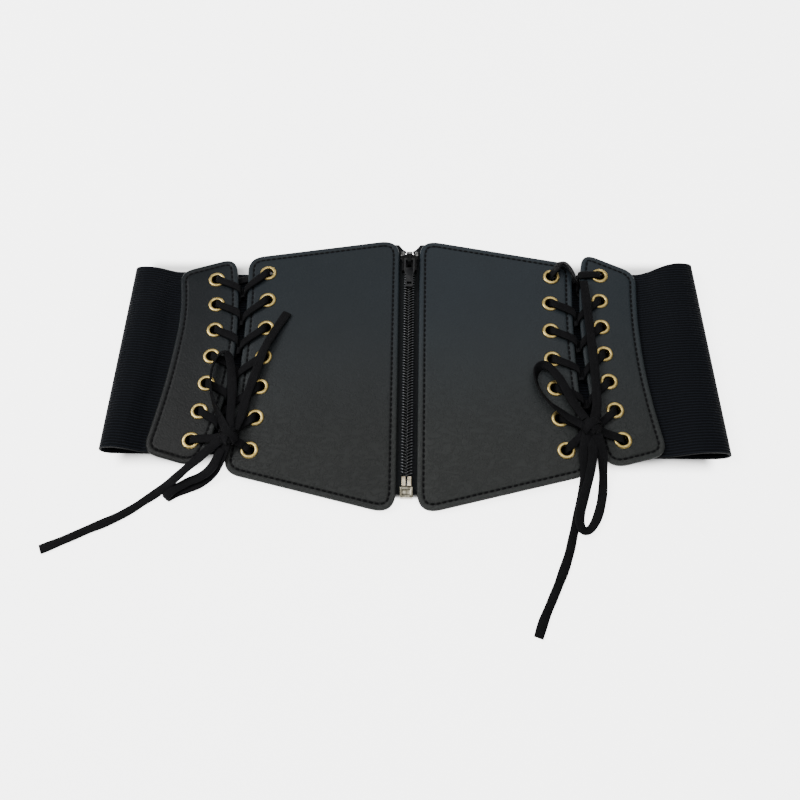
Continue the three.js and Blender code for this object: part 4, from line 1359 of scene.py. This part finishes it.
FREE_LACES = (
    FreeLace("bow_loop_left_up", Side.LEFT, "object", (
        (94.6, -39.2, 12.4, 20), (97.6, -34, 11.6, 45), (101.0, -27.5, 11.2, 68), (103.9, -19, 11.1, 72),
        (105.1, -11, 11.1, 72), (104.6, -3.5, 11.1, 68), (102.7, 2.4, 10.8, 55), (99.6, 4.9, 10.3, 35),
        (96.9, 2.4, 9.9, 18), (94.9, -5, 9.8, 8), (93.6, -13, 9.8), (92.8, -22, 10.1), (92.2, -31, 11.2),
        (91.6, -38.6, 12.9))),
    FreeLace("bow_loop_left_down", Side.LEFT, "object", (
        (93.4, -50.3, 10.2), (96.0, -57.0, 6.9), (100.2, -63.2, 3.4), (105.6, -67.3, 1.5),
        (112.2, -69.9, 0.8), (118.3, -72.5, 0.8), (121.6, -74.5, 0.8), (123.1, -75.4, 1.7),
        (121.6, -73.9, 2.6), (118.2, -70.6, 2.5), (112.0, -66.8, 2.6), (105.4, -64.2, 4.0),
        (99.6, -60.0, 6.8), (96.3, -53.6, 9.4))),
    FreeLace("lace_tail_left_up", Side.LEFT, "bare", (
        (87.9, -39.6, 11.0), (86.9, -33, 10.2), (85.9, -26, 9.9), (84.4, -19, 10.0), (82.7, -12, 10.2),
        (80.8, -4, 10.2), (79.1, 3.9, 10.2), (76.4, 12, 9.9), (73.3, 19.6, 9.0), (70.4, 26, 8.2),
        (67.6, 31.9, 7.7))),
    FreeLace("lace_tail_left_down", Side.LEFT, "bare", (
        (97.9, -47.5, 11.4), (101.8, -52.0, 10.2), (106.3, -56.2, 9.1), (111.4, -60.1, 7.4),
        (117.4, -64.8, 4.9), (123.0, -68.9, 2.3), (128.6, -73.0, 1.0), (133.6, -76.7, 0.75),
        (139.0, -80.9, 0.75), (145.0, -84.8, 0.75), (151.8, -88.4, 0.75), (159.3, -91.9, 0.75),
        (167.0, -95.8, 0.75), (174.7, -99.5, 0.75), (182.4, -103, 0.75))),
    FreeLace("bow_loop_right_up", Side.RIGHT, "object", (
        (88.6, -36.9, 12.3), (84.6, -33.2, 11.2, 15), (79.6, -28.4, 10.4, 35), (74.2, -23.2, 10.2, 55),
        (70.0, -16.6, 9.9, 65), (68.0, -9.6, 9.7, 65), (68.7, -4.2, 9.7, 50), (71.4, -1.2, 9.7, 30),
        (74.6, -1.5, 9.8, 10), (77.8, -5.2, 10.1), (81.2, -11, 10.3), (84.4, -18, 10.3), (87.4, -25, 10.9),
        (90.4, -31.6, 12.6))),
    FreeLace("bow_loop_right_down", Side.RIGHT, "object", (
        (98.6, -42.9, 11.2), (99.7, -49.5, 9.4), (100.2, -57, 5.6, 10), (100.3, -64.5, 2.6, 20),
        (99.4, -72, 1.6, 20), (97.4, -79.5, 1.5, 20), (94.8, -85.6, 1.6, 20), (91.5, -89.9, 2.3, 15),
        (88.2, -90.3, 2.6, 5), (86.9, -86.4, 2.6), (87.8, -79.9, 2.9), (89.9, -72.2, 5.0),
        (92.2, -64.6, 7.9), (94.1, -56.2, 9.7), (95.0, -48.4, 10.2), (95.0, -43.2, 10.4))),
    FreeLace("lace_tail_right_up", Side.RIGHT, "bare", (
        (97.5, -32.4, 11.9), (98.6, -26, 10.9), (99.3, -18, 10.2), (99.6, -9, 9.9), (99.6, 0, 9.8),
        (99.4, 10, 9.8), (99.1, 20, 9.8), (98.8, 30, 9.8), (98.6, 38, 9.7), (98.4, 45, 9.5),
        (98.1, 53, 9.2))),
    FreeLace("lace_tail_right_down", Side.RIGHT, "bare", (
        (90.9, -42.5, 11.6), (90.4, -49, 9.6), (90.4, -56, 8.1), (90.2, -63, 6.3), (89.4, -70, 3.2),
        (87.8, -77, 1.2), (85.8, -84.5, 0.75), (83.4, -92.5, 0.75), (81.2, -100.5, 0.75),
        (78.3, -108.5, 0.75), (74.8, -116.8, 0.75), (70.8, -125.4, 0.75), (66.7, -134.2, 0.75),
        (63.5, -142.9, 0.75))),
)


# Zip


@dataclass
class Zip:
    """The coil chain, and the hardware with its corners rounded."""

    pitch: float = 1.65
    wire: float = 0.36
    wire_sides: int = 7
    turn_steps: int = 14
    helix_out: tuple[float, float] = (1.2, 1.6)
    helix_up: tuple[float, float] = (1.2, 0.85)
    slant: float = 0.5
    head_room: float = 0.6
    top: float = 71.2
    bottom: float = -63.2
    part_from: float = 66.5
    part_full: float = 73.0
    part_out: float = 2.6
    fold: tuple = ((8.5, 81.0), (6.2, 80.9), (3.8, 77.6), (1.9, 76.3), (1.9, 75.0), (8.5, 75.0))
    fold_levels: tuple[float, float] = (-0.8, -0.35)
    box_y: float = -72.05
    weld: float = 0.02
    bevel_past: float = 28.0
    groove: tuple = ((2.1, 1.4, -0.2), (2.1, 1.4, 0.05), (2.8, 2.1, 0.05), (2.8, 2.1, -0.2))
    hardware: dict = field(default_factory=lambda: {
        "top_stop_left": ("nickel", "stop", 0.6), "top_stop_right": ("nickel", "stop", 0.6),
        "insertion_pin": ("nickel", "pin", 0.35), "box_pin": ("nickel", "pin", 0.35),
        "retainer_box": ("nickel", "box", 0.3), "slider_body": ("black_metal", "slider", 0.22),
        "pull_tab": ("black_metal", "tab", 0.28)})

    def coil(self, side: Side, finish: Material) -> Piece:
        """One half of the chain: a round wire on a flattened helix whose heads pass the middle.

        The helix runs down the chain one pitch a turn, with its upper legs slanting, so the closed
        chain shows chevrons.

        Args:
            side: the belt's half.
            finish: the nylon's material.

        Returns:
            The coil.
        """
        turns = int((self.top - self.bottom) / self.pitch)
        a = np.linspace(0, TURN * turns, turns * self.turn_steps + 1)
        offset = 0.0 if side is Side.LEFT else self.pitch / 2
        down = self.top - self.head_room - offset - a / TURN * self.pitch
        y = down + self.slant * np.cos(a)
        parting = self.part_out * smoothstep(y, self.part_from, self.part_full)
        out = self.helix_out[0] + self.helix_out[1] * np.cos(a) + parting
        z = LIE.underside(out, y) + self.helix_up[0] + self.helix_up[1] * np.sin(a)
        line = np.stack([ZIP_X + side.value * out, y, z], -1)
        tangent = unit(np.gradient(line, axis=0))
        first = unit(np.cross(tangent, TOPWARD))
        second = np.cross(tangent, first)
        rows, sides = len(line), self.wire_sides
        angle = round_turn(sides)[None, :, None]
        ring = line[:, None] + self.wire * (first[:, None] * np.cos(angle) + second[:, None] * np.sin(angle))
        lay = np.broadcast_to(np.stack([np.cos(a), np.sin(a)], -1)[:, None], (rows, sides, 2))
        shell = Shell().add(ring, tube_faces(rows, sides), lay)
        return shell.build(f"coil_wire_{side.word}", finish)

    def tape_fold(self, side: Side, finish: Material) -> Piece:
        """The tape's upper end, folded outwards and tucked under the panel's corner.

        Args:
            side: the belt's half.
            finish: the tape's material.

        Returns:
            The fold, as a thin prism level with the tape.
        """
        out, y = np.array(self.fold).T
        place = np.column_stack([ZIP_X + side.value * out, y, LIE.underside(out, y)])
        levels = np.stack([place + UP * level for level in self.fold_levels])
        faces = tube_faces(2, len(place), side is Side.LEFT)
        return Shell().add(levels, faces).build(f"tape_fold_{side.word}", finish, sharp=30)

    def box_groove(self, finish: Material) -> Piece:
        """Painted shade in the rectangular groove pressed into the top of the retainer box.

        Args:
            finish: its material.

        Returns:
            The painted shade, as a thin dark frame that lies on the box.
        """
        solid = np.array([v.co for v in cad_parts["retainer_box"].data.vertices]) / MM
        top = solid[solid[:, 2] > solid[:, 2].max() - 1.2]
        terms = np.column_stack([top[:, :2], np.ones(len(top))])
        slope = np.linalg.lstsq(terms, top[:, 2], rcond=None)[0]
        corners = np.array([[1, 1], [-1, 1], [-1, -1], [1, -1]], float)
        ring = []
        for wide, long, lift in self.groove:
            spots = corners * [wide, long] + [ZIP_X, self.box_y]
            ring.append(np.column_stack([spots, spots @ slope[:2] + slope[2] + lift]))
        faces = grid_faces(len(ring), len(corners), closed_rows=True, closed_cols=True)[:, ::-1]
        return Shell().add(ring, faces).build("retainer_groove", finish, sharp=30)

    def rounded(self, node: str, width: float, finish: Material) -> Piece:
        """A copy of a solid, its doubles merged, with its edges bevelled.

        Args:
            node: the solid's name.
            width: the bevel's width.
            finish: its material.

        Returns:
            The rounded piece.
        """
        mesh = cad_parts[node].data.copy()
        mesh.materials.clear()
        mesh.materials.append(finish)
        piece = bpy.data.objects.new(f"{node}_rounded", mesh)
        bpy.context.scene.collection.objects.link(piece)
        weld = piece.modifiers.new("weld", "WELD")
        weld.merge_threshold = self.weld * MM
        bevel = piece.modifiers.new("bevel", "BEVEL")
        bevel.width, bevel.segments, bevel.angle_limit = width * MM, 3, math.radians(self.bevel_past)
        bevel.limit_method = "ANGLE"
        settle(piece, 35)
        return piece


# Studio


@dataclass(frozen=True)
class Studio:
    """Camera at the photograph's place, a pale floor and soft light."""

    eye: tuple[float, float, float] = (1.5, -223.7, 420.7)
    down: float = 63.9
    heading: float = 2.4627
    roll: float = -1.7
    focal: float = 870.0
    frame_size: float = 800.0
    sensor: float = 36.0
    floor_half: float = 3000.0
    glow: float = 4.4
    room: float = 0.45
    # Where the floor's glow is taken away, as painted shadow: under the belt and under the zip's lower end.
    under_belt: tuple = ((0.15, 0.158), (-0.06, -0.05), (0.066, 0.074))
    under_zip: tuple = ((0.009, 0.011), (-0.0745, -0.0725), (-0.05, -0.045))
    lamps: tuple = (
        ("soft_box_left", (-1.0, 0.2, 1.1), 0.7, 24.0), ("soft_box_back", (0.15, 0.9, 1.0), 0.9, 4.0),
        ("soft_box_top", (0.1, -0.1, 1.5), 1.2, 12.5),
    )

    @staticmethod
    def stand(made: Piece, right: Array, up: Array, back: Array, place: tuple) -> None:
        """Turns an object to those axes, puts it in its place and links it to the scene.

        Args:
            made: the object.
            right: its own +X.
            up: its own +Y.
            back: its own +Z, away from what it looks at.
            place: where it stands, in metres.
        """
        matrix = np.eye(4)
        matrix[:3] = np.stack([right, up, back, np.array(place, float)], -1)
        made.matrix_world = Matrix(matrix.tolist())
        bpy.context.scene.collection.objects.link(made)

    def camera(self) -> None:
        """Makes the camera: right, up and back from the heading, the tilt and the roll."""
        e, h, r = (math.radians(v) for v in (self.down, self.heading, self.roll))
        ahead = np.array([-math.sin(h) * math.cos(e), math.cos(h) * math.cos(e), -math.sin(e)])
        right = np.array([math.cos(h), math.sin(h), 0.0])
        up = np.cross(right, ahead)
        across, above = math.cos(r) * right + math.sin(r) * up, math.cos(r) * up - math.sin(r) * right
        data = bpy.data.cameras.new("camera")
        data.sensor_width = self.sensor
        data.lens = self.sensor * self.focal / self.frame_size
        made = bpy.data.objects.new("camera", data)
        self.stand(made, across, above, -ahead, np.array(self.eye) * MM)
        bpy.context.scene.camera = made

    def floor(self) -> None:
        """A large pale sheet that glows a little, as an overexposed table does; under the belt the glow is
        taken away as a painted shadow.
        """
        s = Shader("pale_floor")
        tone = s.mix(s.noise(s.place(), 12.0), (0.86, 0.86, 0.855), (0.88, 0.88, 0.875))
        across, up = s.axes(s.place())
        sides, hem, top = self.under_belt
        painted_shadow = (1 - across.size().ramp(*sides)) * up.ramp(*hem) * (1 - up.ramp(*top))
        sides, hem, top = self.under_zip
        zip_painted_shadow = (1 - (across - ZIP_X * MM).size().ramp(*sides)) * up.ramp(*hem)
        painted_shadow = painted_shadow + (1 - painted_shadow) * zip_painted_shadow * (1 - up.ramp(*top))
        glow = s.mix(painted_shadow, tone, (0.0, 0.0, 0.0))
        finish = s.finish(Base_Color=tone, Roughness=0.8, Emission_Color=glow, Emission_Strength=self.glow)
        corners = np.array([[-1, -1, 0], [1, -1, 0], [1, 1, 0], [-1, 1, 0]]) * self.floor_half
        Shell().add(corners, [[0, 1, 2, 3]]).build("floor", finish)

    def lamp(self, name: str, place: tuple, size: float, watts: float) -> None:
        """An area light that looks at the belt's middle.

        Args:
            name: its name.
            place: where it hangs, in metres.
            size: its side, in metres.
            watts: its power.
        """
        data = bpy.data.lights.new(name, "AREA")
        data.size, data.energy = size, watts
        made = bpy.data.objects.new(name, data)
        back = unit(np.array(place, float))
        right = unit(np.cross(np.array([0.0, 1.0, 0.001]), back))
        self.stand(made, right, np.cross(back, right), back, place)

    def light(self) -> None:
        """A pale room, the main soft box to the left, and weaker ones over the belt and beyond it."""
        world = bpy.data.worlds.new("studio")
        world.use_nodes = True
        background = world.node_tree.nodes["Background"]
        background.inputs[0].default_value = (1.0, 1.0, 1.0, 1.0)
        background.inputs[1].default_value = self.room
        bpy.context.scene.world = world
        for name, place, size, watts in self.lamps:
            self.lamp(name, place, size, watts)


def main() -> None:
    """Builds the studio and every piece of the belt, in order."""
    logging.basicConfig(level=logging.INFO, format="%(name)s: %(message)s")
    studio = Studio()
    studio.camera()
    leather, elastic, lace = SatinLeather().material(), RibbedElastic().material(), FlatLace().material()
    tape, nylon, brass = WovenTape().material(), CoilNylon().material(), BRASS.material()
    metals = {key: enamel.material() for key, enamel in METALS.items()}
    for free in FREE_LACES:
        free.build(lace)
    zipper = Zip()
    for side in Side:
        word = side.word
        fit(Lacing(side).build(lace), "lace", "belt", f"lacing_{word}")
        fit(KNOTS[side].build(lace), "lace", "belt", f"bow_knot_{word}")
        fit(zipper.coil(side, nylon), "zip_coil", "belt", f"zip_coil_{word}")
        fit(zipper.tape_fold(side, tape), "zip_tape", "belt")
        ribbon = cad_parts[f"zip_tape_{word}"]
        ribbon.data.materials.clear()
        ribbon.data.materials.append(tape)
    for cut in CUTS.values():
        panel = LeatherPanel(cut)
        fit(panel.sheet(leather), "leather", "belt", f"{cut.kind}_panel_{cut.side.word}")
        fit(panel.stitches(lace), "lace", "belt")
        nodes = [f"eyelet_{cut.name}_{index}" for index in range(1, PAIRS + 1)]
        fit(EyeletColumn(cut).column(brass), "brass", "belt", *nodes)
    fit(ElasticBand().wall(elastic), "elastic", "belt", "elastic_band")
    for node, (slot, key, width) in zipper.hardware.items():
        body = "pull_tab" if node == "pull_tab" else "belt"
        fit(zipper.rounded(node, width, metals[key]), slot, body, node)
    # Painted shade in the retainer box's groove.
    fit(zipper.box_groove(metals["slider"]), "black_metal", "belt")
    studio.floor()
    studio.light()


if __name__ == "__main__":
    main()
